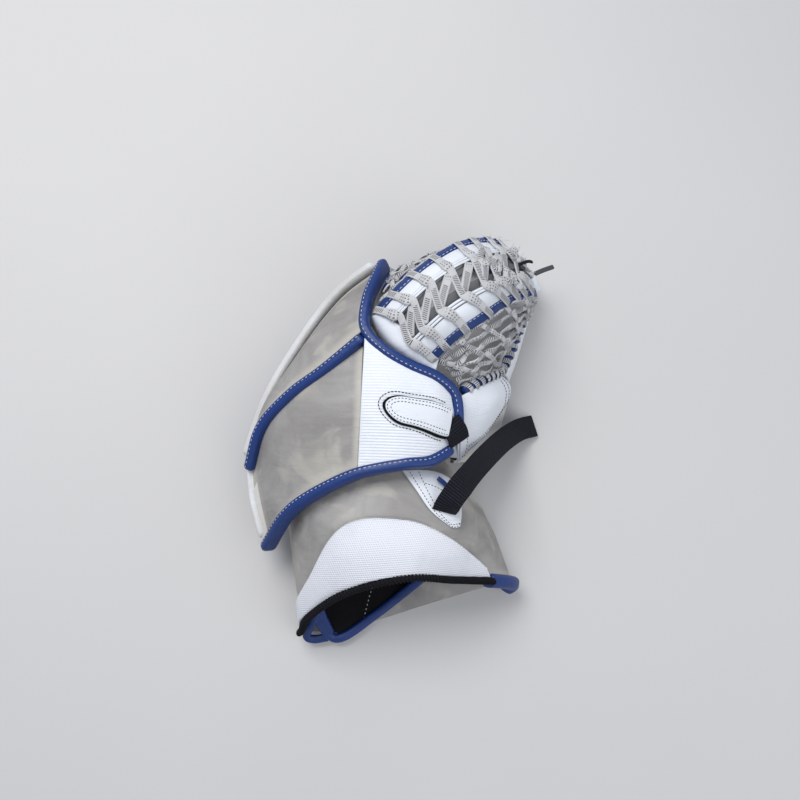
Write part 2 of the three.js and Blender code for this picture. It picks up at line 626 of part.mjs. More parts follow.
// Wrist strap: webbing sewn to the patch by its low end, its free end hanging over the thumb to the floor.
const STRAP_PATH = [
  [54, -74, 96], [58, -60, 110], [70, -44, 108], [88, -24, 84], [111, -5, 48], [132, 8, 20], [151, 14, 3],
];
const STRAP_UP = [
  [0.45, -0.75, 0.5], [-0.3, 0.1, 1], [0.3, 0, 1], [0.5, 0.2, 0.85], [0.5, 0.2, 0.85], [0.2, 0, 1], [0, 0, 1],
];
piece("wrist_strap", WEBBING_BLACK, rod(STRAP_PATH, WEBBING, WEBBING_THICK, 18, STRAP_UP, 8), [
  "strap_patch", "cuff", "cuff_pad", "thumb",
]);

glove.position.set(-PLAN_CENTRE[0], -PLAN_CENTRE[1], 0);

export default glove;
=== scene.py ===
"""Goalie catch glove for the left hand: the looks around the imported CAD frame.

Points are in the millimetres of the glove's own plan, as in the CAD source.
to_frame() puts them in the row frame.
"""

import json
import math

import bmesh
import bpy
import numpy as np
from mathutils import Matrix


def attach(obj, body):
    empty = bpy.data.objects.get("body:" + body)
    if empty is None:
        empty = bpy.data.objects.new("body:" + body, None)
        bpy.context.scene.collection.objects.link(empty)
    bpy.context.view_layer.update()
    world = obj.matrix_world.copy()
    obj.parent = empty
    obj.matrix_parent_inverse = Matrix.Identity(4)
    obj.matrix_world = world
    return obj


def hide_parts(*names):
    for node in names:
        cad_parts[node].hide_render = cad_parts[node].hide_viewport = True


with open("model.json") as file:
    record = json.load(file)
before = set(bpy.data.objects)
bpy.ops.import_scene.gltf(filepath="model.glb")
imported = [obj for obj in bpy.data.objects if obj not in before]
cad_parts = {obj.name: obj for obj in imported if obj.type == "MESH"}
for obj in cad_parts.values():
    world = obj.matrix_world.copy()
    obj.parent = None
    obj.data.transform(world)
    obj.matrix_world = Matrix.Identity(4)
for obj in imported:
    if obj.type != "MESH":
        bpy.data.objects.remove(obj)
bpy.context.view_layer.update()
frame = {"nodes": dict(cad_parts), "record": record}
RNG = np.random.default_rng(11)

# ---------------------------------------------------------------- driving dimensions, mm
MM = 0.001
PLAN_CENTRE = np.array([14.0, -3.3, 0.0])  # the CAD source's own shift to the row's origin
BINDING_WIDTH = 9.5
BINDING_DEPTH = 15.0
COVER = 2.0
RIB_PITCH = 2.5
LACE_WIDTH = 7.0
LACE_THICK = 1.5
STITCH_PITCH = 4.4
STITCH_SHARE = 0.68  # of the pitch that a stitch covers
TEE_THICK = 5.0
NO_RIM = 99.0  # distance to a rim on pieces that have none
SIM_FRAMES = 20
PAD_EDGE = 3.4  # height of the cuff pad's face at its seams
PAD_CROWN = 3.5  # how much higher its middle starts, before air pressure fills it
PAD_VOXEL = 1.3
PAD_CAP = 3.0  # how far the air pressure may move a point
FLOOR_HALF = np.array([90, 60])  # half the width and length of the cuff's floor
FLOOR_MIDDLE = -125  # its middle in y
FLOOR_SHIFT = 0.1  # how far its boards lie towards the thumb
CAMERA_EYE = [-15.36, -71.93, 800.0]
CAMERA_TILT = 8.0  # degrees that it looks up the glove, away from straight down
CAMERA_TURN = -2.171  # degrees that it looks towards the thumb side


def to_frame(points):
    return (np.asarray(points, float) - PLAN_CENTRE) * MM


# ---------------------------------------------------------------- curves and surfaces
def unit(v):
    v = np.asarray(v, float)
    return v / np.maximum(np.linalg.norm(v, axis=-1, keepdims=True), 1e-9)


def weights(count, t):
    """Catmull-Rom weights of count evenly spaced points at each t, carried on straight past 0 and 1."""
    t = np.asarray(t, float).ravel()
    inside = np.clip(t, 0, 1)
    x = inside * (count - 1)
    i = np.minimum(x.astype(int), count - 2)
    f = x - i
    w = np.zeros((len(t), count))
    rows = np.arange(len(t))
    cubic = (
        -0.5 * f + f**2 - 0.5 * f**3,
        1 - 2.5 * f**2 + 1.5 * f**3,
        0.5 * f + 2 * f**2 - 1.5 * f**3,
        -0.5 * f**2 + 0.5 * f**3,
    )
    for k, c in zip((-1, 0, 1, 2), cubic):
        j = i + k
        low, high = j < 0, j >= count
        ok = ~(low | high)
        np.add.at(w, (rows[ok], j[ok]), c[ok])
        np.add.at(w, (rows[low], 0), 2 * c[low])
        np.add.at(w, (rows[low], 1), -c[low])
        np.add.at(w, (rows[high], count - 1), 2 * c[high])
        np.add.at(w, (rows[high], count - 2), -c[high])
    past = t - inside
    if np.any(past):
        step = 0.01
        slope_low = (weights(count, [step]) - weights(count, [0]))[0] / step
        slope_high = (weights(count, [1]) - weights(count, [1 - step]))[0] / step
        w += np.where(past < 0, past, 0)[:, None] * slope_low
        w += np.where(past > 0, past, 0)[:, None] * slope_high
    return w


def curve(points, t):
    points = np.asarray(points, float)
    return weights(len(points), t) @ points


class Surface:
    """A smooth surface through a net of points. u runs over the rows and v along a row."""

    def __init__(self, net):
        self.net = np.array(net, float)

    def at(self, u, v):
        u, v = np.broadcast_arrays(np.asarray(u, float), np.asarray(v, float))
        wu = weights(self.net.shape[0], u)
        wv = weights(self.net.shape[1], v)
        return np.einsum("kr,kc,rcd->kd", wu, wv, self.net).reshape(u.shape + (3,))

    def normal(self, u, v, step=0.004):
        u, v = np.broadcast_arrays(np.asarray(u, float), np.asarray(v, float))
        du = self.at(u + step, v) - self.at(u - step, v)
        dv = self.at(u, v + step) - self.at(u, v - step)
        return unit(np.cross(du, dv))

    def off(self, u, v, height):
        return self.at(u, v) + self.normal(u, v) * np.asarray(height, float)[..., None]


class Region(Surface):
    """The part of a surface that lies inside a net of (u, v) places."""

    def __init__(self, base, places):
        self.base = base
        self.places = Surface([[(u, v, 0) for u, v in row] for row in places])

    def at(self, u, v):
        p = self.places.at(u, v)
        return self.base.at(p[..., 0], p[..., 1])


BACKHAND = Surface([
    [[-111, -101, 46], [-121, -60, 45], [-128, -22, 42]],
    [[-90, -73, 76], [-100, -26, 78], [-106, 22, 70]],
    [[-68, -55, 92], [-74, -2, 100], [-76, 50, 92]],
    [[-46, -43, 103], [-48, 12, 113], [-46, 70, 107]],
    [[-27, -35, 110], [-24, 24, 122], [-22, 80, 116]],
])
KNUCKLES = Surface([
    [[-26, -35, 110], [-23, 22, 123], [-20, 78, 125]],
    [[-6, -30, 115], [-6, 20, 127], [-4, 64, 128]],
    [[14, -27, 116], [16, 15, 126], [18, 51, 126]],
    [[36, -24, 111], [40, 12, 121], [42, 41, 121]],
    [[56, -13, 103], [59, 8, 108], [56, 29, 112]],
])
FINGERS = Surface([
    [[-128, -17, 34], [-109, 36, 41], [-78, 87, 47], [-42, 130, 61], [-3, 152, 90]],
    [[-129, -21, 41], [-113, 29, 54], [-82, 72, 68], [-47, 109, 84], [-10, 136, 105]],
    [[-129, -25, 47], [-114, 20, 63], [-84, 56, 83], [-51, 84, 99], [-18, 112, 117]],
    [[-127, -29, 52], [-114, 9, 71], [-86, 36, 92], [-55, 57, 109], [-22, 84, 125]],
])
FINGER_FACE = Surface([
    [[-110, -50, 10], [-126, -12, 10], [-103, 48, 10], [-69, 98, 10], [-30, 134, 10]],
    [[-98, -46, 20], [-110, -12, 22], [-90, 40, 24], [-58, 84, 26], [-20, 120, 30]],
    [[-86, -44, 29], [-92, -12, 31], [-74, 34, 35], [-45, 74, 42], [-14, 106, 54]],
])
FINGER_WALL = Surface([
    [[-113, -52, 18], [-130, -12, 18], [-108, 50, 18], [-74, 102, 18], [-36, 138, 20], [-3, 157, 24]],
    [[-114, -52, 26], [-131, -13, 22], [-108, 50, 26], [-74, 102, 30], [-38, 139, 36], [-5, 157, 50]],
    [[-114, -50, 34], [-130, -14, 28], [-106, 50, 34], [-72, 101, 41], [-40, 138, 53], [-7, 155, 77]],
])
PALM = Surface([
    [[-80, -44, 30], [-86, -8, 31], [-68, 36, 35], [-38, 78, 46]],
    [[-44, -50, 35], [-48, -6, 37], [-38, 38, 42], [-22, 80, 55]],
    [[-4, -52, 37], [-4, 0, 39], [0, 36, 46], [2, 66, 60]],
    [[34, -50, 36], [38, -2, 38], [38, 20, 46], [40, 40, 60]],
])
WEB_ROOT = Surface([
    [[-16, 108, 62], [-18, 103, 90], [-14, 99, 113], [-7, 103, 119]],
    [[2, 78, 70], [-2, 76, 96], [1, 76, 120], [10, 88, 127]],
    [[22, 58, 70], [18, 58, 96], [19, 62, 121], [27, 75, 129]],
    [[44, 46, 70], [42, 44, 92], [42, 48, 115], [45, 59, 119]],
])
TEE_FINGER = Surface([
    [
        [-8, 104, 116], [12, 124, 124], [37, 145, 126], [67, 166, 113],
        [98, 179, 84], [118, 181, 50], [126, 175, 18],
    ],
    [
        [-1, 97.5, 123.5], [18, 116, 133.5], [41, 135, 136.5], [69, 154, 126],
        [100, 168, 99], [123, 172, 62], [134, 168, 20],
    ],
    [
        [6, 91, 127], [24, 108, 139], [44, 125, 142], [71, 143, 134],
        [101, 158, 110], [127, 162, 73], [140, 160, 24],
    ],
])
TEE_THUMB = Surface([
    [
        [21, 75, 131], [40, 91, 144], [58, 105, 146], [84, 121, 137],
        [109, 135, 113], [131, 148, 77], [143, 150, 26],
    ],
    [
        [31, 68, 129], [50, 85, 142], [70, 99, 142], [95, 117, 128],
        [119, 131, 101], [139, 144, 63], [148, 146, 20],
    ],
    [
        [41, 61, 121], [59, 77, 132], [81, 92, 131], [105, 111, 113],
        [128, 126, 84], [145, 138, 48], [151, 141, 14],
    ],
])
NET_THUMB = Surface([
    [[47, 56, 114], [65, 71, 126], [87, 87, 124], [110, 106, 106], [132, 120, 78], [148, 131, 44]],
    [[57, 46, 107], [76, 57, 112], [97, 70, 105], [116, 86, 84], [131, 105, 58], [143, 119, 42]],
    [[66, 38.5, 98], [83, 46, 88], [101.5, 57, 69], [115, 75, 52], [125, 98, 47], [135, 117, 45]],
])
NET_FINGER = Surface([
    [[4, 158, 70], [16, 168, 40], [44, 176, 24], [78, 180, 20], [112, 178, 18]],
    [[-2, 136, 98], [16, 152, 94], [44, 169, 82], [77, 181, 62], [109, 186, 38]],
    [[-9, 110, 112], [9, 128, 119], [35, 150, 121], [66, 171, 108], [98, 184, 80]],
])
THUMB_BACK = Surface([
    [[64, -30, 83], [63, -9, 95], [65, 12, 100], [67, 31, 98]],
    [[74, -19, 75], [77, 1, 86], [80, 20, 91], [81, 39, 91]],
    [[91, -3, 63], [97, 14, 72], [100, 30, 77], [96, 47, 78]],
    [[116, 30, 45], [120, 39, 45], [119, 49, 49], [108, 57, 61]],
])
THUMB_FACE = Surface([
    [[62, -26, 44], [68, 2, 46], [75, 22, 50], [84, 38, 56]],
    [[78, -24, 30], [90, 4, 30], [98, 28, 34], [101, 46, 42]],
    [[90, -22, 12], [110, 6, 10], [121, 38, 10], [117, 52, 22]],
])
THUMB_RIM_BOARD = Surface([
    [[113, 61, 44], [123, 84, 38], [132, 108, 34], [143, 128, 32]],
    [[121, 57, 28], [131, 82, 23], [140, 108, 20], [149, 130, 19]],
    [[123, 53, 10], [134, 80, 7], [143, 108, 6], [151, 132, 6]],
])
CUFF = Surface([
    [[-80, -181, 12], [-87, -130, 18], [-93, -78, 30]],
    [[-74, -167, 40], [-80, -118, 52], [-86, -56, 54]],
    [[-48, -146, 70], [-56, -100, 82], [-62, -42, 74]],
    [[-14, -131, 92], [-20, -88, 99], [-26, -24, 84]],
    [[22, -126, 97], [20, -82, 102], [14, -17, 87]],
    [[60, -129, 82], [54, -84, 94], [46, -20, 83]],
    [[92, -132, 58], [80, -88, 72], [66, -44, 64]],
    [[114, -134, 38], [99, -94, 48], [82, -60, 44]],
    [[120, -137, 22], [107, -100, 26], [92, -66, 30]],
])
CUFF_FLOOR = [
    [-78, -186], [-36, -184], [36, -162], [100, -144], [106, -138],
    [90, -72], [60, -64], [-70, -72], [-84, -84],
]
LINER_PALM = Surface([
    [[-68, -158, 40], [-74, -112, 44], [-76, -78, 48]],
    [[-63, -176, 18], [-66, -116, 18], [-66, -76, 24]],
    [[-39, -186, 11], [-38, -118, 10], [-36, -72, 22]],
    [[-10, -167, 11], [0, -112, 10], [4, -68, 24]],
    [[14, -149, 13], [36, -104, 12], [42, -66, 26]],
    [[38, -129, 24], [62, -98, 24], [64, -66, 36]],
])
PAD = Region(CUFF, [
    [[0.03, 0.0], [0.04, 0.09], [0.05, 0.18]],
    [[0.16, 0.0], [0.17, 0.16], [0.18, 0.31]],
    [[0.3, 0.0], [0.31, 0.29], [0.32, 0.58]],
    [[0.48, 0.0], [0.48, 0.27], [0.48, 0.54]],
    [[0.62, 0.0], [0.62, 0.2], [0.62, 0.4]],
    [[0.76, 0.0], [0.755, 0.06], [0.75, 0.12]],
])
PATCH = Region(CUFF, [
    [[0.625, 0.49], [0.565, 0.59], [0.525, 0.73], [0.49, 0.86]],
    [[0.64, 0.485], [0.62, 0.6], [0.6, 0.73], [0.59, 0.86]],
    [[0.66, 0.5], [0.68, 0.61], [0.69, 0.73], [0.69, 0.84]],
])
HAND_TAB = Region(KNUCKLES, [
    [[0.32, 0.37], [0.3, 0.49], [0.32, 0.61]],
    [[0.61, 0.33], [0.61, 0.48], [0.61, 0.64]],
    [[0.91, 0.2], [0.92, 0.42], [0.93, 0.65]],
])


# ---------------------------------------------------------------- mesh making
class Shape:
    """Vertices, faces, UVs in millimetres and distances to a rim, gathered before they become one mesh."""

    def __init__(self):
        self.verts = []
        self.rims = []
        self.faces = []
        self.uvs = []
        self.count = 0

    def grid(self, points, uv, wrap=False, flip=False, rim=None):
        """A grid of points (n, m, 3) with uv (n, m, 2). With wrap the second direction closes."""
        n, m = points.shape[:2]
        base = self.count
        self.verts.append(points.reshape(-1, 3))
        self.rims.append(np.full(n * m, NO_RIM) if rim is None else rim.ravel())
        self.count += n * m
        i, j = np.meshgrid(np.arange(n - 1), np.arange(m if wrap else m - 1), indexing="ij")
        next_j = (j + 1) % m
        corners = [i * m + j, (i + 1) * m + j, (i + 1) * m + next_j, i * m + next_j]
        quad = np.stack(corners, -1).reshape(-1, 4)
        if flip:
            quad = quad[:, ::-1]
        self.faces.extend((quad + base).tolist())
        self.uvs.append(uv.reshape(-1, 2)[quad].reshape(-1, 2))
        return base

    def cap(self, ring):
        self.faces.append(list(ring))
        self.uvs.append(np.zeros((len(ring), 2)))

    def sheet(self, surface, top, low, nu, nv, r=1.5):
        """A closed sheet on a surface between two heights, with rounded rims. top may depend on (u, v)."""
        line, middle_line = np.linspace(0, 1, 20), np.full(20, 0.5)
        wide = span(surface.at(line, middle_line))
        long = span(surface.at(middle_line, line))
        u, v = np.meshgrid(rounded_steps(nu, r / wide), rounded_steps(nv, r / long), indexing="ij")
        rim = np.minimum(np.minimum(u, 1 - u) * wide, np.minimum(v, 1 - v) * long)
        full = np.sqrt(np.clip(1 - (1 - np.clip(rim / r, 0, 1)) ** 2, 0, 1))
        high = top(u, v) if callable(top) else np.full(u.shape, float(top))
        middle = (high.min() + low) / 2
        uv = np.stack([u * wide, v * long], -1)
        a = self.grid(surface.off(u, v, middle + (high - middle) * full), uv, rim=rim)
        b = self.grid(surface.off(u, v, middle + (low - middle) * full), uv, flip=True, rim=rim)
        n, m = u.shape
        loop = [i * m for i in range(n)] + [(n - 1) * m + j for j in range(1, m)]
        loop += [i * m + m - 1 for i in range(n - 2, -1, -1)] + list(range(m - 2, 0, -1))
        flat = uv.reshape(-1, 2)
        for k, p in enumerate(loop):
            q = loop[(k + 1) % len(loop)]
            self.faces.append([a + q, a + p, b + p, b + q])
            self.uvs.append(flat[[q, p, p, q]])

    def sweep(self, path, ups, profile, steps, end=0.0, closed=False, start=0.0, swell=None):
        """A profile of (across, lift) points along a path. end is the length over which each end closes in.

        swell(t) gives the profile's (width, height) scales along the path. UVs are the length, from start,
        and the place across.
        """
        path, ups = np.asarray(path, float), np.asarray(ups, float)
        if closed:
            path = np.concatenate([path[-1:], path, path[:2]])
            ups = np.concatenate([ups[-1:], ups, ups[:2]])
            t = np.linspace(1 / (len(path) - 1), (len(path) - 2) / (len(path) - 1), steps + 1)[:-1]
        else:
            t = np.linspace(0, 1, steps + 1)
        centre, across, lift = frames(path, ups, t)
        length = np.concatenate([[0], np.cumsum(np.linalg.norm(np.diff(centre, axis=0), axis=1))])
        scale = np.ones((len(t), 2)) if swell is None else swell(t)
        if end > 0 and not closed:
            near = np.minimum(length, length[-1] - length)
            closing = np.sqrt(np.clip(1 - (1 - np.clip(near / end, 0, 1)) ** 2, 0, 1))
            scale = scale * (0.02 + 0.98 * closing)[:, None]
        profile = np.asarray(profile, float)
        wide = profile[None, :, :1] * scale[:, None, :1]
        high = profile[None, :, 1:] * scale[:, None, 1:]
        points = centre[:, None] + across[:, None] * wide + lift[:, None] * high
        uv = np.stack(np.broadcast_arrays(length[:, None] + start, profile[None, :, 0]), -1)
        if closed:
            points = np.concatenate([points, points[:1]])
            lap = length[-1] + np.linalg.norm(centre[0] - centre[-1]) + start
            uv = np.concatenate([uv, np.stack([np.full(len(profile), lap), profile[:, 0]], -1)[None]])
        base = self.grid(points, uv, wrap=True)
        if not closed:
            m = len(profile)
            self.cap([base + k for k in range(m)])
            self.cap([base + (len(t) - 1) * m + k for k in range(m - 1, -1, -1)])

    def mesh(self, name, finish):
        data = bpy.data.meshes.new(name)
        data.from_pydata(to_frame(np.concatenate(self.verts)).tolist(), [], self.faces)
        layer = data.uv_layers.new(name="mm")
        layer.data.foreach_set("uv", np.concatenate(self.uvs).astype(np.float32).ravel())
        rim = data.attributes.new("rim", "FLOAT", "POINT")
        rim.data.foreach_set("value", np.concatenate(self.rims).astype(np.float32))
        data.validate()
        data.materials.append(finish)
        data.polygons.foreach_set("use_smooth", [True] * len(data.polygons))
        obj = bpy.data.objects.new(name, data)
        bpy.context.scene.collection.objects.link(obj)
        bm = bmesh.new()
        bm.from_mesh(data)
        bmesh.ops.remove_doubles(bm, verts=bm.verts, dist=1e-6)
        bmesh.ops.recalc_face_normals(bm, faces=bm.faces)
        bm.to_mesh(data)
        bm.free()
        return obj


def span(points):
    """Length of a line of points."""
    return np.linalg.norm(np.diff(points, axis=0), axis=1).sum()


def frames(path, ups, t):
    """Centre, across and lift of a path at each t. ups is one direction or one for each stretch."""
    centre = curve(path, t)
    tangent = unit(curve(path, t + 1e-3) - curve(path, t - 1e-3))
    ups = np.asarray(ups, float)
    up = curve(ups, t) if ups.ndim == 2 else np.tile(ups, (len(t), 1))
    across = unit(np.cross(tangent, up))
    return centre, across, unit(np.cross(across, tangent))


def rounded_steps(count, share):
    """Places from 0 to 1 with a few close steps at each end for a rounded rim."""
    share = min(share, 0.2)
    rim = share * (1 - np.cos(np.linspace(0, math.pi / 2, 5)))
    return np.concatenate([rim[:-1], np.linspace(share, 1 - share, count + 1), 1 - rim[:-1][::-1]])


def oval(width, height, sides=20, power=2.6):
    """An oval profile, squarer as power grows."""
    a = np.linspace(0, 2 * math.pi, sides, endpoint=False)
    c, s = np.cos(a), np.sin(a)
    x = np.sign(c) * np.abs(c) ** (2 / power) * width / 2
    y = np.sign(s) * np.abs(s) ** (2 / power) * height / 2
    return np.stack([x, y], -1)


def grooved(width, height, groove=1.0, sides=36):
    """An oval profile with a groove along the middle of its top."""
    profile = oval(width, height, sides, 2.5)
    dip = groove * np.exp(-((profile[:, 0] / (width * 0.1)) ** 2))
    profile[:, 1] -= np.where(profile[:, 1] > 0, dip, 0)
    return profile


def put(obj, body, node=None, slot_name=None):
    """The piece rides on a body and stands for the CAD node, if there is one."""
    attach(obj, body)
    slot_name or FINISH_SLOTS[obj.data.materials[0].name]
    if node:
        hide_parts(node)
    return obj


# ---------------------------------------------------------------- materials
class Nodes:
    """Short names for building a node tree."""

    def __init__(self, name):
        self.material = bpy.data.materials.new(name)
        self.material.use_nodes = True
        self.tree = self.material.node_tree
        self.bsdf = next(n for n in self.tree.nodes if n.type == "BSDF_PRINCIPLED")

    def new(self, kind, **settings):
        node = self.tree.nodes.new(kind)
        for key, value in settings.items():
            setattr(node, key, value)
        return node

    def link(self, a, b):
        self.tree.links.new(a, b)

    def place(self):
        """The place in the frame, in metres."""
        return self.new("ShaderNodeTexCoord").outputs["Object"]

    def uv(self):
        return self.new("ShaderNodeUVMap", uv_map="mm").outputs[0]

    def rim(self):
        """The distance to the piece's rim, mm."""
        return self.new("ShaderNodeAttribute", attribute_name="rim").outputs["Fac"]

    def noise(self, source, scale, detail=3.0, rough=0.55, distortion=0.0):
        n = self.new("ShaderNodeTexNoise")
        n.inputs["Scale"].default_value = scale
        n.inputs["Detail"].default_value = detail
        n.inputs["Roughness"].default_value = rough
        n.inputs["Distortion"].default_value = distortion
        self.link(source, n.inputs["Vector"])
        return n.outputs["Fac"]

    def cells(self, source, scale):
        n = self.new("ShaderNodeTexVoronoi")
        n.inputs["Scale"].default_value = scale
        self.link(source, n.inputs["Vector"])
        return n.outputs["Distance"]

    def math(self, operation, a, b=0.0, c=0.0, clamp=False):
        n = self.new("ShaderNodeMath", operation=operation, use_clamp=clamp)
        for k, value in enumerate((a, b, c)):
            if isinstance(value, (int, float)):
                n.inputs[k].default_value = value
            else:
                self.link(value, n.inputs[k])
        return n.outputs[0]

    def step(self, source, low, high):
        """0 below low, 1 above high and smooth between. low may be the larger."""
        n = self.new("ShaderNodeMapRange", interpolation_type="SMOOTHSTEP")
        n.inputs["From Min"].default_value = low
        n.inputs["From Max"].default_value = high
        self.link(source, n.inputs["Value"])
        return n.outputs["Result"]

    def wave(self, source, pitch):
        return self.math("SINE", self.math("MULTIPLY", source, 2 * math.pi / pitch))

    def mix(self, fac, a, b):
        n = self.new("ShaderNodeMix", data_type="RGBA")
        for socket, value in ((n.inputs[0], fac), (n.inputs[6], a), (n.inputs[7], b)):
            if isinstance(value, tuple):
                socket.default_value = value + (1,)
            elif isinstance(value, (int, float)):
                socket.default_value = value
            else:
                self.link(value, socket)
        return n.outputs[2]

    def split(self, source):
        n = self.new("ShaderNodeSeparateXYZ")
        self.link(source, n.inputs[0])
        return n.outputs

    def scaled(self, source, scale, turn=0.0):
        n = self.new("ShaderNodeMapping")
        n.inputs["Scale"].default_value = scale
        n.inputs["Rotation"].default_value = (0, 0, turn)
        self.link(source, n.inputs["Vector"])
        return n.outputs[0]

    def bump(self, height, distance, strength=1.0, previous=None):
        n = self.new("ShaderNodeBump")
        n.inputs["Strength"].default_value = strength
        n.inputs["Distance"].default_value = distance
        self.link(height, n.inputs["Height"])
        if previous is not None:
            self.link(previous, n.inputs["Normal"])
        return n.outputs["Normal"]

    def finish(self, colour, rough, normal, **sockets):
        for value, name in ((colour, "Base Color"), (rough, "Roughness"), (normal, "Normal")):
            if isinstance(value, (int, float)):
                self.bsdf.inputs[name].default_value = value
            else:
                self.link(value, self.bsdf.inputs[name])
        for key, value in sockets.items():
            self.bsdf.inputs[key.replace("_", " ")].default_value = value
        return self.material


def darker(colour, share):
    return tuple(share * c for c in colour)


def leather(name, colour, smudge, rough=0.5, dirt=0.5, grain=0.36, cream=None):
    """Pebbled leather: its colour, the tone that handling leaves, and the tone of its margins."""
    n = Nodes(name)
    p = n.place()
    broad = n.noise(p, 13, 4, 0.6, 0.8)
    fine = n.noise(p, 70, 5, 0.65)
    patch = n.math("MULTIPLY", n.math("SUBTRACT", broad, 0.36, clamp=True), 3.0 * dirt, clamp=True)
    patch = n.math("MULTIPLY", patch, n.math("MULTIPLY_ADD", fine, 0.8, 0.55), clamp=True)
    base = n.mix(patch, colour, smudge)
    if cream is not None:
        patchy = n.math("MULTIPLY_ADD", broad, 0.9, 0.35)
        margin = n.math("MULTIPLY", n.step(n.rim(), 14, 2.5), patchy, clamp=True)
        base = n.mix(n.math("MULTIPLY", margin, 0.85), base, cream)
        base = n.mix(n.math("MULTIPLY", n.step(n.noise(p, 24, 3, 0.5, 1.0), 0.52, 0.72), 0.5), base, cream)
    scuff = n.step(n.noise(n.scaled(p, (60, 260, 90), 0.5), 1.0, 4, 0.7), 0.6, 0.78)
    base = n.mix(n.math("MULTIPLY", scuff, 0.3), base, darker(smudge, 0.6))
    edge = n.math("MULTIPLY", n.step(n.rim(), 0.9, 0.1), 0.35)
    base = n.mix(edge, base, darker(smudge, 0.5))
    normal = n.bump(n.cells(p, 950), 0.00016, grain)
    normal = n.bump(n.noise(p, 160, 4, 0.6, 1.2), 0.0006, 0.3, normal)
    normal = n.bump(n.noise(n.scaled(p, (30, 90, 30), -0.6), 1.0, 3, 0.5, 1.5), 0.004, 0.18, normal)
    roughness = n.math("MULTIPLY_ADD", fine, 0.22, rough - 0.08)
    return n.finish(base, roughness, normal)


def cloth(name, colour, second, pitch=0.9, rough=0.85, gloss=0.5):
    """Plain woven cloth: two thread directions of one colour, with a lighter nap."""
    n = Nodes(name)
    x, y, _ = n.split(n.uv())
    weave = n.math("MULTIPLY", n.wave(x, pitch), n.wave(y, pitch))
    tone = n.math("MULTIPLY_ADD", weave, 0.25, 0.5)
    base = n.mix(n.math("MULTIPLY", tone, n.noise(n.place(), 30, 4, 0.6)), colour, second)
    return n.finish(base, rough, n.bump(weave, 0.00022, 0.6), Specular_IOR_Level=gloss)


def mesh_cloth(name, colour, second, pitch=3.2):
    """Embossed mesh: a diagonal lattice of small lozenges, laid over the place in plan."""
    n = Nodes(name)
    p = n.place()
    x, y, _ = n.split(n.scaled(p, (1000, 1000, 1000), 0.55))
    lattice = n.math("MULTIPLY", n.wave(x, pitch), n.wave(y, pitch * 0.7))
    hollow = n.step(lattice, 0.1, 0.75)
    fine = n.noise(p, 500, 3)
    base = n.mix(n.math("MULTIPLY", hollow, 0.55), colour, second)
    stain = n.math("MULTIPLY", n.step(n.noise(p, 20, 4, 0.6), 0.45, 0.75), 0.3)
    base = n.mix(stain, base, darker(second, 0.85))
    normal = n.bump(lattice, 0.0006, 0.45)
    return n.finish(base, 0.62, n.bump(fine, 0.0002, 0.4, normal))


def webbing(name, colour, second, rib=1.7):
    """Nylon webbing: ribs across the strap and a finer weave along it."""
    n = Nodes(name)
    x, y, _ = n.split(n.uv())
    ribs = n.wave(x, rib)
    slant = n.math("MULTIPLY_ADD", x, 1.8, n.math("MULTIPLY", y, 5.2))
    height = n.math("MULTIPLY_ADD", n.math("SINE", slant), 0.35, ribs)
    lit = n.math("MULTIPLY", n.math("MULTIPLY_ADD", ribs, 0.5, 0.5), n.noise(n.place(), 400, 3))
    base = n.mix(lit, colour, second)
    return n.finish(base, 0.7, n.bump(height, 0.0004, 0.7), Specular_IOR_Level=0.2)


def lace_finish(name, colour, tracer):
    """Waxed flat lace. Along it, hatched, plain and dotted stretches take turns."""
    n = Nodes(name)
    p = n.place()
    x, y, _ = n.split(n.uv())
    lap = n.math("FRACT", n.math("MULTIPLY", x, 1 / 44))
    sway = n.math("MULTIPLY_ADD", n.noise(p, 90, 2), 1.2, -0.6)
    off_centre = n.math("ABSOLUTE", n.math("SUBTRACT", y, sway))
    slant = n.math("MULTIPLY_ADD", y, 0.22, x)
    stroke = n.math("GREATER_THAN", n.math("FRACT", n.math("MULTIPLY", slant, 1 / 1.7)), 0.58)
    hatched = n.math("MULTIPLY", stroke, n.math("LESS_THAN", off_centre, 2.2))
    hatched = n.math("MULTIPLY", hatched, n.math("LESS_THAN", lap, 0.44))
    row = n.math("LESS_THAN", n.math("FRACT", n.math("MULTIPLY_ADD", y, 0.5, 0.25)), 0.4)
    dot = n.math("GREATER_THAN", n.math("FRACT", n.math("MULTIPLY", x, 1 / 3.0)), 0.62)
    dotted = n.math("MULTIPLY", n.math("MULTIPLY", row, dot), n.math("LESS_THAN", off_centre, 2.4))
    in_dots = n.math("MULTIPLY", n.math("GREATER_THAN", lap, 0.56), n.math("LESS_THAN", lap, 0.84))
    ink = n.math("MULTIPLY_ADD", dotted, in_dots, hatched, clamp=True)
    grime = n.math("MULTIPLY", n.noise(p, 60, 4, 0.6), 0.7)
    base = n.mix(grime, colour, darker(colour, 0.6))
    base = n.mix(n.math("MULTIPLY", ink, 0.93), base, tracer)
    weave = n.math("MULTIPLY", n.wave(x, 0.84), n.wave(y, 0.84))
    normal = n.bump(weave, 0.00025, 0.55)
    normal = n.bump(n.noise(p, 240, 3), 0.0004, 0.5, normal)
    return n.finish(base, 0.66, normal)


def moulded(name, colour, rough=0.45):
    n = Nodes(name)
    p = n.place()
    base = n.mix(n.math("MULTIPLY", n.noise(p, 25, 3), 0.4), colour, darker(colour, 0.75))
    return n.finish(base, rough, n.bump(n.noise(p, 300, 4), 0.0002, 0.3))


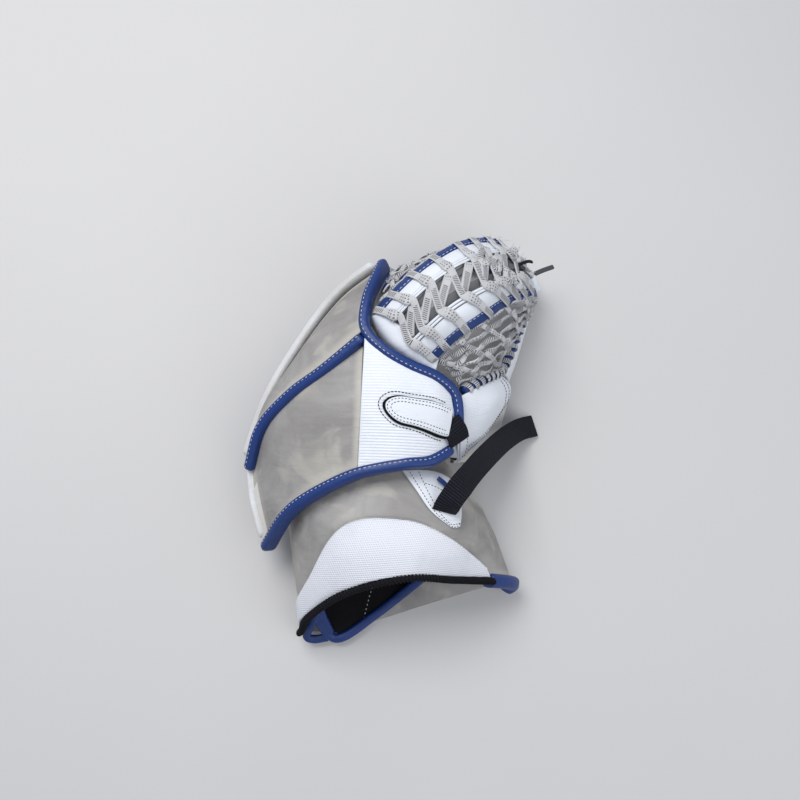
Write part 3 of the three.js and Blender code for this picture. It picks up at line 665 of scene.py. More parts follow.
CREAM = (0.56, 0.53, 0.46)
GREY = leather("grey_leather", (0.38, 0.365, 0.35), (0.21, 0.197, 0.19), 0.5, 0.95, cream=CREAM)
WHITE = leather("white_leather", (0.80, 0.83, 0.88), (0.62, 0.64, 0.67), 0.46, 0.3)
WORN = leather("worn_white_leather", (0.76, 0.77, 0.79), (0.52, 0.50, 0.47), 0.5, 0.6,
               cream=(0.66, 0.64, 0.58))
BLUE = leather("blue_leather", (0.004, 0.032, 0.18), (0.006, 0.030, 0.11), 0.42, 0.5)
THREAD = cloth("white_thread", (0.66, 0.69, 0.76), (0.5, 0.54, 0.62), 0.5)
THREAD_DARK = cloth("dark_thread", (0.02, 0.02, 0.022), (0.05, 0.05, 0.05), 0.5)
BLACK_CLOTH = cloth("black_cloth", (0.004, 0.004, 0.006), (0.016, 0.016, 0.019), 1.4, gloss=0.2)
# Painted shade: a dark grey cloth for the strip that stands in for the shade in the gap between the tee
# bands.
GAP_SHADE = cloth("grey_gap_shade", (0.13, 0.13, 0.135), (0.24, 0.24, 0.25), 1.1, 0.95, gloss=0.1)
WEBBING = webbing("black_webbing", (0.002, 0.002, 0.005), (0.026, 0.028, 0.042), 2.4)
LACE = lace_finish("waxed_lace", (0.69, 0.69, 0.70), (0.008, 0.008, 0.009))
MESH_CLOTH = mesh_cloth("white_mesh", (0.82, 0.84, 0.9), (0.55, 0.57, 0.62))
FOAM = moulded("grey_foam", (0.07, 0.07, 0.075), 0.95)
BOARD = moulded("white_board", (0.6, 0.61, 0.64))
TAIL = moulded("dark_tail", (0.06, 0.065, 0.075), 0.5)

FINISH_SLOTS = {
    "grey_leather": "leather_grey",
    "white_leather": "leather_white",
    "worn_white_leather": "leather_white",
    "blue_leather": "leather_blue",
    "white_thread": "leather_white",
    "dark_thread": "cloth_black",
    "black_cloth": "cloth_black",
    # the dark grey strip of painted shade in the tee gap
    "grey_gap_shade": "foam_grey",
    "black_webbing": "webbing_black",
    "waxed_lace": "lace",
    "white_mesh": "mesh_white",
    "dark_tail": "tail_grey",
}

for entry in frame["record"]["subparts"]:
    node = entry["node"]
    carried = frame["nodes"][node]
    carried.data.materials.clear()
    carried.data.materials.append(
        FOAM if node.endswith("_foam") else BOARD if node.endswith("_board") else BLACK_CLOTH)


# ---------------------------------------------------------------- stitches and sheets
def piece(shape, name, finish, body, node=True, slot_name=None):
    """The shape's mesh on its body. With node it stands for the CAD node of its name."""
    if node:
        return put(shape.mesh(name + "_skin", finish), body, name, slot_name)
    return put(shape.mesh(name, finish), body, None, slot_name)


def stitches(name, points, ups, body, finish=THREAD, slot_name=None,
             pitch=STITCH_PITCH, radius=0.36, share=STITCH_SHARE):
    """A row of short threads along a line of points; ups point out of the leather."""
    points, ups = np.asarray(points, float), unit(ups)
    length = np.concatenate([[0], np.cumsum(np.linalg.norm(np.diff(points, axis=0), axis=1))])
    count = max(1, int(length[-1] / pitch))
    shape = Shape()
    profile = oval(2 * radius, 1.6 * radius, 6, 2)
    for k in range(count):
        a = (k + 0.14) * length[-1] / count
        place = np.linspace(a, min(a + share * pitch, length[-1]), 3)
        line = np.stack([np.interp(place, length, points[:, i]) for i in range(3)], -1)
        up = np.stack([np.interp(place, length, ups[:, i]) for i in range(3)], -1)
        line[[0, 2]] -= up[[0, 2]] * radius * 0.8
        shape.sweep(line, up, profile, 4, end=radius)
    return piece(shape, name, finish, body, False, slot_name)


def sewn(name, surface, us, vs, height, body, finish=THREAD_DARK, pitch=3.0, radius=0.4, share=0.96):
    """A row of stitches on a surface along a line of (u, v) places."""
    count = 12 * len(us)
    places = curve(np.stack([us, vs], -1), np.linspace(0, 1, count))
    points = surface.off(places[:, 0], places[:, 1], np.full(count, float(height)))
    ups = surface.normal(places[:, 0], places[:, 1])
    return stitches(name, points, ups, body, finish, None, pitch, radius, share)


def ripple(scale, amount, seed):
    """A smooth random height over (u, v), as worn leather has."""
    rng = np.random.default_rng(seed)
    waves = [rng.uniform((-scale, -scale, 0), (scale, scale, 2 * math.pi)) for _ in range(9)]
    return lambda u, v: amount / 3 * sum(np.sin(a * u + b * v + c) for a, b, c in waves)


def pillow(crown, scale, amount, seed):
    """The height of a padded panel's cover: a crown that falls off at the rim, with ripples."""
    wave = ripple(scale, amount, seed)

    def top(u, v):
        inside = np.clip(16 * u * (1 - u) * v * (1 - v), 0, 1) ** 0.35
        return crown * inside + wave(u, v) * inside

    return top


def ribs(surface, pitch, height, lean, fade):
    """Raised parallel ribs across a panel, lower towards its rim."""

    def top(u, v):
        p = surface.at(u, v)
        rim = np.clip(np.minimum(np.minimum(u, 1 - u) / 0.04, np.minimum(v, 1 - v) / 0.05), 0, 1)
        wave = 0.5 + 0.5 * np.sin(2 * math.pi * (p[..., 1] + lean * p[..., 0]) / pitch)
        return height * rim * wave**0.7 * fade(p)

    return top


def sheet_piece(name, surface, top, low, finish, body, nu=24, nv=24, r=1.5, node=True):
    shape = Shape()
    shape.sheet(surface, top, low, nu, nv, r)
    return piece(shape, name, finish, body, node)


def rod_piece(name, path, ups, profile, finish, body, steps=90, end=3.0, node=True):
    shape = Shape()
    shape.sweep(path, ups, profile, steps, end)
    return piece(shape, name, finish, body, node)


def binding(name, path, ups, body, inner_side, steps=110):
    """A folded leather binding and a row of stitches on the side where its panel is."""
    fold = oval(BINDING_WIDTH, BINDING_DEPTH, 28, 3.4)
    rod_piece(name, path, ups, fold, BLUE, body, steps, 5)
    centre, across, lift = frames(path, ups, np.linspace(0.015, 0.985, 160))
    line = centre + across * inner_side * BINDING_WIDTH * 0.17 + lift * (BINDING_DEPTH / 2 - 0.05)
    stitches(name + "_stitches", line, lift, body)


# ---------------------------------------------------------------- camera
camera_data = bpy.data.cameras.new("camera")
camera_data.sensor_width = 36
camera_data.lens = 36
camera = bpy.data.objects.new("camera", camera_data)
bpy.context.scene.collection.objects.link(camera)
tilted = Matrix.Rotation(math.radians(CAMERA_TILT), 4, "X")
turned = Matrix.Rotation(math.radians(CAMERA_TURN), 4, "Y")
camera.matrix_world = Matrix.Translation(to_frame(CAMERA_EYE)) @ tilted @ turned
bpy.context.scene.camera = camera

# ---------------------------------------------------------------- back panels
sheet_piece("finger_guard_cover", FINGERS, pillow(0.9, 16, 0.55, 3), -COVER, GREY, "hand", 40, 60)
sheet_piece("backhand_cover", Region(BACKHAND, [[[0, 0], [0, 1]], [[1.014, 0], [1.014, 1]]]),
            pillow(1.0, 14, 0.6, 5), -COVER, GREY, "hand", 50, 40, 0.9)
sheet_piece("knuckle_cover", KNUCKLES, ribs(KNUCKLES, RIB_PITCH, 0.5, 0.04, lambda p: 1), -COVER,
            WHITE, "hand", 60, 300, 1.0)


def towards_palm(p):
    """The thumb's ribs fade out where its back turns down."""
    return np.clip((118 - p[..., 0]) / 30, 0, 1)


sheet_piece("thumb_cover", THUMB_BACK, ribs(THUMB_BACK, RIB_PITCH, 0.45, 0.1, towards_palm), -COVER,
            WHITE, "thumb", 50, 220)
margin_strip = Region(BACKHAND, [[[-0.01, 0.0], [-0.01, 0.62]], [[0.055, 0.0], [0.05, 0.62]]])
sheet_piece("backhand_margin", margin_strip, 1.5, 0.2, WORN, "hand", 6, 40, 0.6, False)

GUARD_EDGE = [[-132, -19, 30], [-113, 36, 35], [-82, 89, 41], [-46, 134, 54], [-9, 156, 80]]
rod_piece("finger_guard_edge_roll", GUARD_EDGE, [-0.3, 0.2, 0.9], grooved(9, 16), WORN, "hand", 90, 5)
BACKHAND_EDGE = [[-112, -95, 42], [-122, -60, 39], [-126, -30, 38]]
rod_piece("backhand_edge_roll", BACKHAND_EDGE, [-0.3, 0, 0.95], grooved(10, 14), WORN, "hand", 40, 5)

WRIST_EDGE = [
    [-111, -105, 42], [-91, -76, 71], [-68, -58, 87], [-27, -39, 105],
    [14, -31, 111], [38, -28, 106], [57, -17, 98],
]
FINGER_SEAM = [[-127, -32, 46], [-114, 5, 65], [-86, 32, 87], [-55, 52, 104], [-19, 79, 120]]
POCKET_RIM = [
    [-1, 156, 84], [-8, 138, 99], [-17, 113, 112], [-19, 86, 120], [-3, 67, 123], [19, 54, 121],
    [43, 44, 116], [59, 30, 107], [62, 8, 103], [60, -9, 99],
]
binding("wrist_edge_binding", WRIST_EDGE, [[-0.6, 0.2, 0.8], [0, 0, 1]], "hand", -1)
binding("finger_seam_binding", FINGER_SEAM, [-0.3, 0.15, 0.95], "hand", -1)
binding("pocket_rim_binding", POCKET_RIM, [[-0.5, 0.4, 0.8], [0, 0, 1], [0.2, 0, 1]], "hand", 1, 150)

# ---------------------------------------------------------------- catching face
finger_face = sheet_piece("finger_face_panel", FINGER_FACE, 3, -3, WORN, "hand", 30, 30)
sheet_piece("finger_side_wall", FINGER_WALL, 1.5, -1.5, WORN, "hand", 30, 30)
sheet_piece("palm_leather", PALM, 2, -2, GREY, "hand", 30, 30)
sheet_piece("palm_lining", PALM, 5, 2.4, BLACK_CLOTH, "hand", 30, 30)
sheet_piece("web_wall", WEB_ROOT, 0, -3, WHITE, "hand", 30, 30)

FLOOR_SHARE = math.sin(3 * math.pi / 8) / 2  # a swept CAD rod's flat underside, as a share of its height


def floor_roll(name, plan, width, height, body):
    """A roll that the glove lies on."""
    path = [[x, y, height * FLOOR_SHARE] for x, y in plan]
    profile = oval(width, 2 * height * FLOOR_SHARE, 24, 3)
    return rod_piece(name, path, [0, 0, 1], profile, BLUE, body, 150, 4)


floor_roll("finger_perimeter_roll", [
    (-112, -54), (-130, -14), (-107, 50), (-73, 102), (-34, 139),
    (8, 163), (50, 176), (92, 180), (124, 172), (140, 158),
], 11, 16, "hand")

# ---------------------------------------------------------------- pocket
FINGER_RUNGS = [-0.005, 0.095, 0.235, 0.355, 0.465, 0.55, 0.63, 0.71]
THUMB_RUNGS = [-0.01, 0.09, 0.22, 0.385, 0.5, 0.585, 0.66, 0.74]
LEAN = 0.045  # how far along its band a lace moves from the bound edge to the inner one


def band(side, surface, outer):
    """One tee band: leather face, bound edge, a dark grey strip of painted shade under its inner edge, and
    two pipings. outer is the bound edge's u.
    """
    place = lambda s: s if outer == 1 else 1 - s
    sheet_piece("tee_band_" + side, surface, 0.4, -TEE_THICK, WHITE, "hand", 16, 90, 1.6)

    def along_band(s, height, count, stop=0.9):
        v = np.linspace(-0.01, stop, count)
        u = np.full(count, place(s))
        return surface.off(u, v, np.full(count, height)), surface.normal(u, v)

    rod_piece("tee_binding_" + side, *along_band(0.94, -1.6, 60), oval(9, 7.4, 24, 4.5),
              BLUE, "hand", 130, 3)
    shape = Shape()
    for s in (0.05, 0.17):
        shape.sweep(*along_band(s, 0.5, 60), oval(2.4, 2.8, 10, 2.4), 130, 2)
    piece(shape, "tee_piping_" + side, WHITE, "hand")
    shape = Shape()
    for s in (-0.01, 0.11, 0.235):
        shape.sweep(*along_band(s, 0.45, 60), oval(0.7, 0.7, 6, 2), 130, 1)
    piece(shape, "tee_piping_thread_" + side, THREAD_DARK, "hand", False)
    # Painted shade: a dark grey strip below each band's inner edge stands in for the shade in the gap between
    # the bands.
    rod_piece("tee_gap_shade_" + side, *along_band(-0.12, -3.4, 60), oval(9, 1.8, 12, 3),
              GAP_SHADE, "hand", 130, 3, False)
    stitches("tee_stitches_" + side, *along_band(0.81, 2.1, 200, 0.88), "hand")


band("finger_side", TEE_FINGER, 0)
band("thumb_side", TEE_THUMB, 1)


def ribbon(shape, path, ups, steps=40, width=LACE_WIDTH, thick=LACE_THICK,
           closed=False, start=None, swell=None):
    """A lace. start is where along the lace's pattern it begins, and is drawn when not given."""
    start = RNG.uniform(0, 400) if start is None else start
    shape.sweep(path, ups, oval(width, thick, 12, 3.2), steps, 0.8, closed, start, swell)


def tee_place(finger, s, v, height):
    """A point over a tee band and its normal. s runs from 0 at the inner edge to 1 at the bound edge."""
    surface, u = (TEE_FINGER, 1 - s) if finger else (TEE_THUMB, s)
    return surface.off(u, v, height), surface.normal(u, v)


def bundled(t):
    """A rung's width and height along it: where it turns in at each inner edge it bunches up."""
    bunch = np.exp(-(((t - 0.38) / 0.055) ** 2)) + np.exp(-(((t - 0.62) / 0.055) ** 2))
    return np.stack([1 + 0.42 * bunch, 1 + 1.6 * bunch], -1)


# A rung's way round a band, as (s, height) places from its underside to the gap.
WRAP = (
    (0.55, -7.2), (1.04, -6.6), (1.13, -2.0), (1.0, 3.0),
    (0.75, 2.9), (0.42, 2.0), (0.14, 3.0), (-0.12, 1.6),
)
lacing = Shape()
for finger_v, thumb_v in zip(FINGER_RUNGS, THUMB_RUNGS):
    wobble = RNG.uniform(-0.006, 0.006, 2)
    sides = []
    for finger, v in ((True, finger_v + wobble[0]), (False, thumb_v + wobble[1])):
        lean = LEAN if finger else 0.0
        sides.append([tee_place(finger, s, v + lean * (1 - s), height) for s, height in WRAP])
    route = sides[0] + sides[1][::-1]
    points = np.array([p for p, _ in route])
    ups = np.array([n for _, n in route])
    for k in (0, 1, 2, -3, -2, -1):
        middle = points[4] if k >= 0 else points[-5]
        ups[k] = unit(points[k] - middle + 2.5 * (-ups[k] if k in (0, -1) else ups[k]))
    ribbon(lacing, points, ups, 120, start=-16.0, swell=bundled)
for k in range(len(FINGER_RUNGS) - 2):
    a, b = THUMB_RUNGS[k], FINGER_RUNGS[k + 1] + LEAN
    route = [
        tee_place(False, 0.5, a, -6.6),
        tee_place(False, 0.05, a + 0.01, -6.0),
        tee_place(False, -0.16, a + 0.02, -1.6),
        tee_place(True, -0.16, b - 0.02, -0.6),
        tee_place(True, 0.05, b - 0.01, -6.0),
        tee_place(True, 0.5, b, -6.6),
    ]
    points = np.array([p for p, _ in route])
    points[2:4] += np.array([n for _, n in route[2:4]]) * 0.8
    ups = [n for _, n in route]
    ribbon(lacing, points, ups, 60, width=LACE_WIDTH * 1.15, thick=2.4, start=26.0)
piece(lacing, "tee_centre_lacing", LACE, "hand")


def net(name, surface, rows, ties, height):
    """A laced net: strands side by side along the surface, slightly twisted, and short ties between them."""
    shape = Shape()
    v = np.linspace(0.0, 1.0, 30)
    for k, u in enumerate(rows):
        u_line = u + 0.018 * np.sin(v * 34 + k * 2.1) + RNG.uniform(-0.008, 0.008, 30)
        lift = height + 1.1 * np.sin(v * 40 + k * 1.7)
        up = surface.normal(u_line, v)
        side = unit(np.cross(surface.at(u_line, v + 0.01) - surface.at(u_line, v - 0.01), up))
        roll = 0.75 * np.sin(v * 22 + k * 1.3)[:, None]
        strand = surface.off(u_line, v, lift)
        ribbon(shape, strand, up + side * roll, 150, width=LACE_WIDTH * 0.74, thick=2.2)
    gap = rows[1] - rows[0]
    for k in range(ties):
        first = rows[k % (len(rows) - 1)]
        start = (k + 0.5) / ties + RNG.uniform(-0.02, 0.02)
        u_line = first + gap * np.array([-0.25, 0.2, 0.8, 1.25])
        v_line = np.clip(start + np.array([-0.035, -0.012, 0.012, 0.035]), 0, 1)
        lift = height + np.array([-1.0, 2.0, 1.6, -1.4])
        tie = surface.off(u_line, v_line, lift)
        ribbon(shape, tie, surface.normal(u_line, v_line), 24, width=LACE_WIDTH * 0.7)
    return piece(shape, name, LACE, "hand")


net("net_thumb_side", NET_THUMB, (-0.1, 0.08, 0.27, 0.47, 0.67, 0.87), 26, -1.5)
net("net_finger_side", NET_FINGER, (0.08, 0.29, 0.5, 0.71, 0.92), 22, -2.5)

rod_piece("tip_bar", [[124, 182, 20], [136, 172, 24], [145, 160, 24], [152, 146, 20]], [0, 0, 1],
          oval(9, 24, 24, 3), WHITE, "hand", 40)
rod_piece("lace_tail", [[143, 154, 62], [152, 159, 57], [164, 165, 50]], [0, 0, 1],
          oval(4.6, 3.2, 16, 3), TAIL, "hand", 30, 0.6)


def between(v, share, height):
    """A point over the gap between the bands, share of the way from the finger side, and its normal."""
    a, b = TEE_FINGER.at(1.0, v), TEE_THUMB.at(0.0, v)
    up = unit(TEE_FINGER.normal(1.0, v) + TEE_THUMB.normal(0.0, v))
    return a + (b - a) * share + up * height, up


knot = Shape()
for k in range(10):
    centre, up = between(0.56 + 0.042 * k, RNG.uniform(-0.25, 1.25), 3.4)
    turn = RNG.uniform(0, math.pi)
    side = unit(np.cross(up, [math.cos(turn), math.sin(turn), 0.1]))
    other = np.cross(up, side)
    ring = [
        centre + side * 7.5 * math.cos(a) + other * 4.2 * math.sin(a) + up * 1.2 * math.sin(2 * a)
        for a in np.linspace(0, 2 * math.pi, 9)[:-1]
    ]
    ribbon(knot, ring, [up + 0.4 * unit(p - centre) for p in ring], 36, width=5.5, thick=2.2, closed=True)
piece(knot, "tip_knot", LACE, "hand")
frays = Shape()
for k in range(46):
    root, up = between(RNG.uniform(0.5, 0.93), RNG.uniform(-0.7, 1.7), 3.0)
    way = unit(RNG.normal(size=3) + up * 0.9)
    bend = unit(RNG.normal(size=3))
    reach = RNG.uniform(4, 9)
    line = [root + way * reach * q + bend * 1.6 * q * q for q in (0, 0.35, 0.7, 1.0)]
    frays.sweep(line, unit(np.cross(way, bend)), oval(0.5, 0.5, 5, 2), 8, 0.6)
piece(frays, "lace_frays", THREAD, "hand", False, "lace")
TIE = [[119, 150, 97], [125, 154, 95], [131, 157, 91], [136, 158, 86]]
rod_piece("tip_black_tie", TIE, [0, 0.2, 1], oval(3.2, 1.8, 12, 3), WEBBING, "hand", 30, 1.0, False)

# ---------------------------------------------------------------- thumb
sheet_piece("thumb_rim_board", THUMB_RIM_BOARD, 0, -4, WHITE, "thumb", 24, 30)
thumb_face = sheet_piece("thumb_face_panel", THUMB_FACE, 3, -3, WORN, "thumb", 24, 30)
THUMB_RIM = [
    [67, 35, 94], [84, 46, 84], [98, 54, 70], [109, 62, 52],
    [121, 84, 42], [131, 108, 38], [141, 127, 36],
]
rod_piece("thumb_rim_binding", THUMB_RIM, [[0, 0, 1], [0.3, 0, 1]], oval(8, 11, 24, 3), BLUE, "thumb")
wraps = Shape()
for t in np.linspace(0.04, 0.97, 17):
    centre, across, lift = (a[0] for a in frames(THUMB_RIM, [0.1, 0, 1], np.array([t])))
    forward = np.cross(lift, across)
    ring = [
        centre + across * 5.6 * math.cos(q) + lift * 7.0 * math.sin(q) + forward * 2.0 * math.cos(q)
        for q in np.linspace(0, 2 * math.pi, 9)[:-1]
    ]
    ribbon(wraps, ring, [unit(p - centre) for p in ring], 32, width=5, closed=True)
piece(wraps, "thumb_rim_lacing", LACE, "thumb", False)
floor_roll("thumb_face_binding", ((84, -25), (96, -22), (108, 4), (116, 36), (116, 50)), 8, 13, "thumb")
for inset in (0.05, 0.11):
    sewn("thumb_edge_thread_%d" % (inset * 100), THUMB_BACK, [0.3, 0.7, 1 - inset, 1 - inset, 1 - inset],
         [inset, inset, inset + 0.04, 0.5, 0.9], 0.25, "thumb")
gusset = Surface([
    [[50, -22, 84], [49, -10, 85], [49, 4, 85]],
    [[58, -24, 88], [57, -9, 90], [58, 8, 92]],
    [[68, -24, 84], [66, -8, 93], [67, 12, 97]],
])
sheet_piece("thumb_gusset", gusset, 0.0, -1.6, WHITE, "thumb", 16, 16, 0.8, False)
anchor = Region(THUMB_BACK, [[[0.03, 0.05], [0.03, 0.36]], [[0.22, 0.04], [0.24, 0.3]]])
sheet_piece("elastic_anchor", anchor, 1.5, 0.3, WHITE, "thumb", 12, 12, 0.6, False)
sewn("elastic_anchor_thread", anchor, [0.15, 0.85, 0.85, 0.15], [0.12, 0.12, 0.88, 0.88], 1.5, "thumb")

# ---------------------------------------------------------------- hand tab


class Tongue(Surface):
    """A strip on another surface, with a round end at s = 0. places gives its (u, v) net.

    grow widens it past the net and shift moves it sideways, as shares of its width.
    """

    ROUND = 0.3  # share of the length that the round end takes

    def __init__(self, base, places, grow=0.0, shift=0.0):
        self.base = base
        self.places = Surface([[(u, v, 0) for u, v in row] for row in places])
        self.grow = grow
        self.shift = shift

    @classmethod
    def narrow(cls, s):
        """The strip's width at s as a share of its full width."""
        return np.sqrt(np.clip(1 - (1 - np.clip(s / cls.ROUND, 0.004, 1)) ** 2, 0, 1))

    def at(self, s, t):
        s, t = np.broadcast_arrays(np.asarray(s, float), np.asarray(t, float))
        t = 0.5 + self.shift + (t - 0.5) * self.narrow(s) * (1 + self.grow)
        p = self.places.at(s - self.grow * 0.35 * (1 - s), t)
        return self.base.at(p[..., 0], p[..., 1])

    @classmethod
    def outline(cls, inset, end):
        """(s, t) places round the strip, inset by (length, width) shares, from its straight end and back."""
        a = np.linspace(math.pi / 2, -math.pi / 2, 19)
        s = cls.ROUND - (cls.ROUND - inset[0]) * np.cos(a)
        side = (0.5 - inset[1]) * np.sin(a)
        straight = np.linspace(end, cls.ROUND, 7)[:-1]
        s = np.concatenate([straight, s, straight[::-1]])
        edge = np.full(6, 0.5 - inset[1])
        side = np.concatenate([edge, side, -edge])
        return s, 0.5 + side / cls.narrow(s)


TAB_NET = [[[u, v] for u, v, _ in row] for row in HAND_TAB.places.net]
TAB = Tongue(KNUCKLES, TAB_NET)
sheet_piece("tab_seat", Tongue(KNUCKLES, TAB_NET, 0.14, -0.03), 1.9, 0.4, BLACK_CLOTH, "hand", 50, 24, 0.7)
tab = sheet_piece("hand_tab", TAB, 5, 2, WHITE, "hand_tab", 60, 24, 1.3)
for inset in ((0.03, 0.08), (0.085, 0.2)):
    sewn("tab_thread_%d" % (inset[1] * 100), TAB, *Tongue.outline(inset, 1 - inset[0]), 4.95, "hand_tab")
sewn("tab_seat_thread", Tongue(KNUCKLES, TAB_NET, 0.38), *Tongue.outline((0.01, 0.01), 0.93), 0.6, "hand")
ELASTIC = [[53, 6, 112.5], [57, 1, 112.5], [61, -5, 109.5], [63.5, -12, 102.5]]
rod_piece("tab_elastic", ELASTIC, [[0, 0, 1], [0.4, -0.2, 1], [0.6, -0.4, 1]], oval(22, 1.6, 20, 5),
          WEBBING, "hand", 40, 0.6)

# ---------------------------------------------------------------- cuff
sheet_piece("cuff_cover", CUFF, pillow(0.8, 18, 0.5, 9), -COVER, GREY, "cuff", 90, 50)


def puffed(obj, voxel, cap):
    """The piece blown up by a cloth simulation with air pressure. No point moves further than cap."""
    scene = bpy.context.scene
    bpy.ops.object.select_all(action="DESELECT")
    obj.select_set(True)
    bpy.context.view_layer.objects.active = obj
    remesh = obj.modifiers.new("remesh", "REMESH")
    remesh.mode = "VOXEL"
    remesh.voxel_size = voxel
    bpy.ops.object.modifier_apply(modifier=remesh.name)
    data = obj.data
    before = np.empty(len(data.vertices) * 3)
    data.vertices.foreach_get("co", before)
    sim = obj.modifiers.new("cloth", "CLOTH")
    sim.settings.use_pressure = True
    sim.settings.uniform_pressure_force = 4
    sim.settings.effector_weights.gravity = 0
    sim.point_cache.frame_start = 1
    sim.point_cache.frame_end = SIM_FRAMES
    for step in range(1, SIM_FRAMES + 1):
        scene.frame_set(step)
    blown = obj.evaluated_get(bpy.context.evaluated_depsgraph_get()).to_mesh()
    after = np.empty_like(before)
    blown.vertices.foreach_get("co", after)
    obj.modifiers.remove(sim)
    scene.frame_set(1)
    move = (after - before).reshape(-1, 3)
    far = np.linalg.norm(move, axis=1, keepdims=True)
    move *= np.minimum(1, cap / np.maximum(far, 1e-9))
    data.vertices.foreach_set("co", before + move.ravel())
    fine = obj.modifiers.new("fine", "SUBSURF")
    fine.levels = 1
    bpy.ops.object.modifier_apply(modifier=fine.name)
    obj.data.polygons.foreach_set("use_smooth", [True] * len(obj.data.polygons))
    return obj


def pad_crown(u, v):
    return PAD_EDGE + PAD_CROWN * np.sin(math.pi * u) * np.sin(math.pi * (0.15 + 0.7 * v))


shape = Shape()
shape.sheet(PAD, pad_crown, 0.6, 90, 50, 1.4)
pad = put(puffed(shape.mesh("cuff_pad_skin", MESH_CLOTH), PAD_VOXEL * MM, PAD_CAP * MM), "cuff", "cuff_pad")
edge = np.linspace(0.02, 0.98, 60)
seam = np.full(60, 1.0)
rod_piece("cuff_pad_piping", PAD.off(edge, seam, 1.6 * seam), PAD.normal(edge, seam),
          oval(2.2, 2.8, 12, 2), GREY, "cuff", 120, 1, False)
pad_mouth = np.array([CUFF.at(u, -0.02) for u in (0.03, 0.16, 0.3, 0.48, 0.62, 0.76)])
rod_piece("cuff_pad_binding", pad_mouth, [0, 0, 1], oval(5, 17, 20, 3), BLACK_CLOTH, "cuff", 110)
rope = Shape()
for t in np.linspace(0.01, 0.99, 84):
    centre, across, lift = (a[0] for a in frames(pad_mouth, [0, 0, 1], np.array([t])))
    forward = np.cross(lift, across)
    arc = [
        centre + (across * 2.7 + forward * 1.1) * math.cos(q) + lift * (4.5 + 4.6 * math.sin(q))
        for q in np.linspace(-0.4, math.pi + 0.4, 7)
    ]
    rope.sweep(arc, forward, oval(1.9, 1.9, 6, 2), 10, 0.8)
piece(rope, "cuff_pad_rope", BLACK_CLOTH, "cuff", False)

sheet_piece("strap_patch", PATCH, 3.4, 1.7, WHITE, "cuff", 20, 24, 1.0)
for inset in (0.1, 0.24):
    sewn("strap_patch_thread_%d" % (inset * 100), PATCH, [0.97, 0.8, inset + 0.1, inset, inset, inset],
         [0.1, inset * 0.35, inset * 0.35, 0.2, 0.55, 0.97], 3.35, "cuff")
sewn("strap_patch_seam", PATCH, [0.24, 0.5, 0.75, 0.98], [0.78, 0.72, 0.62, 0.5], 3.35, "cuff")
PATCH_EDGE = [[44, -42, 98.5], [51, -48, 98], [56, -55, 98.5]]
rod_piece("strap_patch_binding", PATCH_EDGE, [0.3, 0, 1], oval(4.2, 2.6, 14, 2.6), BLUE,
          "cuff", 30, 0.6, False)
sheet_piece("cuff_liner_palm", LINER_PALM, 0, -2.2, BLACK_CLOTH, "cuff", 50, 24, 0.8)
sewn("liner_thread", LINER_PALM, [0.52, 0.56, 0.6], [0.02, 0.3, 0.6], 0.1, "cuff", THREAD, 4.0, 0.4, 0.6)
liner_back = Region(CUFF, [[[u, 0.02], [u, 0.98]] for u in (0.1, 0.3, 0.55, 0.8)])
sheet_piece("cuff_liner_back", liner_back, -12.6, -14.8, BLACK_CLOTH, "cuff", 50, 24, 0.8)
LINER_EDGE = [
    [38, -131, 23], [14, -151, 12], [-10, -169, 10], [-39, -188.5, 10], [-54, -187, 12], [-67, -164, 30],
]
rod_piece("liner_binding", LINER_EDGE, [0, 0, 1], oval(9, 8, 20, 2.6), BLUE, "cuff", 90)
LINER_LOOP = [
    [-52, -186, 13], [-58, -172, 24], [-63, -160, 34], [-68, -172, 26],
    [-75, -187, 14], [-68, -191, 11], [-54, -189, 11],
]
rod_piece("liner_binding_fold", LINER_LOOP, [0, 0, 1], oval(8, 6, 20, 2.6), BLUE, "cuff", 90, 2, False)
FLARE = [[92, -134, 56], [106, -136, 44], [116, -138, 32], [120, -140, 22], [117, -144, 11]]
rod_piece("cuff_flare_binding", FLARE, [0.6, 0, 0.6], oval(13, 15, 24, 3), BLUE, "cuff", 60, 2)


def floor_plate(name, low, high, inset):
    """The cuff's flat palm side, a board between two heights with its outline moved in by inset."""
    middle = np.array([0, FLOOR_MIDDLE])
    corners = middle + (CUFF_FLOOR - middle) * (1 - inset / FLOOR_HALF) + [FLOOR_SHIFT, 0]
    following = np.roll(corners, -1, axis=0)
    ring = np.concatenate([a + (b - a) * np.array([[0.06], [0.3], [0.5], [0.7], [0.94]])
                           for a, b in zip(corners, following)])
    centre = ring.mean(0)
    rows = [(0.55, low), (0.985, low), (1.0, low + 0.8), (1.0, high - 0.8), (0.985, high), (0.55, high)]
    grid = np.array([[np.append(centre + (p - centre) * s, z) for p in ring] for s, z in rows])
    shape = Shape()
    base = shape.grid(grid, grid[..., :2], wrap=True)
    shape.cap([base + k for k in range(len(ring))])
    shape.cap([base + (len(rows) - 1) * len(ring) + k for k in range(len(ring) - 1, -1, -1)])
    return piece(shape, name, GREY, "cuff")


floor_plate("cuff_palm_cover", 0, 3, 0)
floor_plate("cuff_palm_board", 3.4, 6, 3)

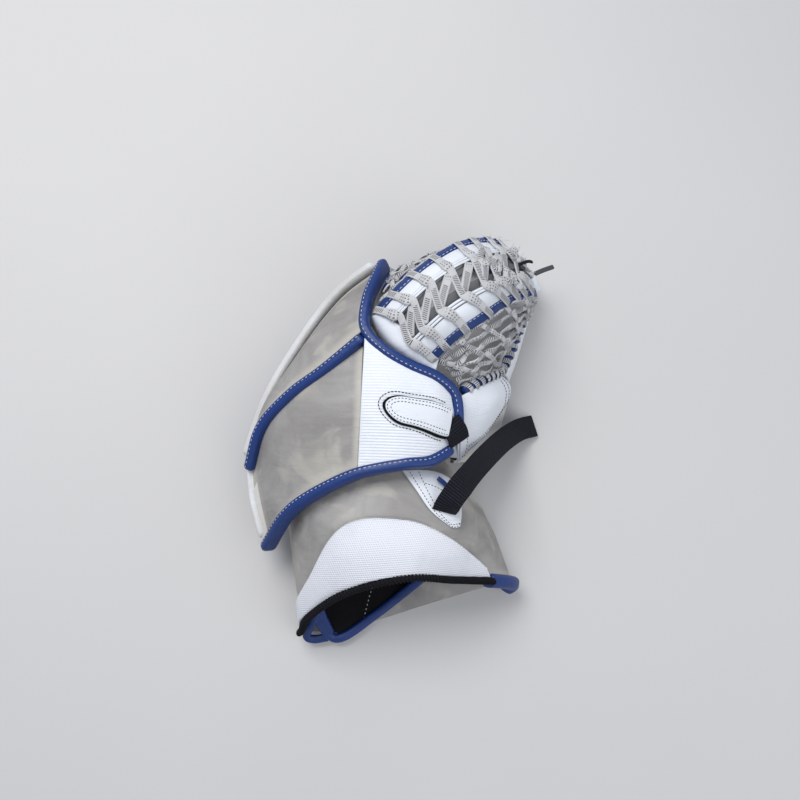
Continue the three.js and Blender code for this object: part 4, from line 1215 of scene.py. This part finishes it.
# ---------------------------------------------------------------- wrist strap
STRAP_PATH = [
    [49, -72, 99], [56, -59, 111], [69, -43, 108], [88, -24, 84], [111, -5, 48], [132, 8, 20], [151, 14, 3],
]
STRAP_UP = [
    [0.1, -0.5, 0.8], [-0.3, 0.1, 1], [0.3, 0, 1], [0.5, 0.2, 0.85], [0.5, 0.2, 0.85], [0.2, 0, 1], [0, 0, 1],
]
rod_piece("wrist_strap", STRAP_PATH, STRAP_UP, oval(22, 2.2, 28, 6), WEBBING, "wrist_strap", 110, 0.6)
for t in (0.955, 0.985):
    centre, across, lift = (a[0] for a in frames(STRAP_PATH, STRAP_UP, np.array([t])))
    line = [centre + across * q + lift * 1.15 for q in np.linspace(-10, 10, 9)]
    stitches("strap_hem_%d" % (t * 1000), line, [lift] * 9, "wrist_strap",
             THREAD_DARK, "webbing_black", 2.4, 0.4)

# ---------------------------------------------------------------- stage
bpy.ops.mesh.primitive_plane_add(size=6)
floor = bpy.context.object
floor.name = "floor"
paper = Nodes("paper")
tone = paper.noise(paper.place(), 3, 2)
grain = paper.bump(paper.noise(paper.place(), 900, 2), 0.0002, 0.2)
floor.data.materials.append(paper.finish(paper.mix(tone, (0.60, 0.59, 0.58), (0.64, 0.63, 0.62)), 0.9, grain))

bpy.context.scene.view_settings.view_transform = "Standard"
world = bpy.data.worlds.new("studio")
bpy.context.scene.world = world
world.use_nodes = True
world.node_tree.nodes["Background"].inputs[0].default_value = (0.85, 0.9, 1.0, 1)
world.node_tree.nodes["Background"].inputs[1].default_value = 0.5


def lamp(name, place, aim, size, power):
    data = bpy.data.lights.new(name, "AREA")
    data.size = size
    data.energy = power
    obj = bpy.data.objects.new(name, data)
    bpy.context.scene.collection.objects.link(obj)
    z = unit(np.array(place) - np.array(aim))
    x = unit(np.cross([0, 1, 0.01], z))
    y = np.cross(z, x)
    obj.matrix_world = Matrix([[x[k], y[k], z[k], place[k]] for k in range(3)] + [[0, 0, 0, 1]])


lamp("key", (-0.5, 0.7, 1.4), (0, 0, 0.05), 0.8, 17)
lamp("fill", (0.9, -0.6, 1.2), (0, 0, 0.05), 1.2, 6)
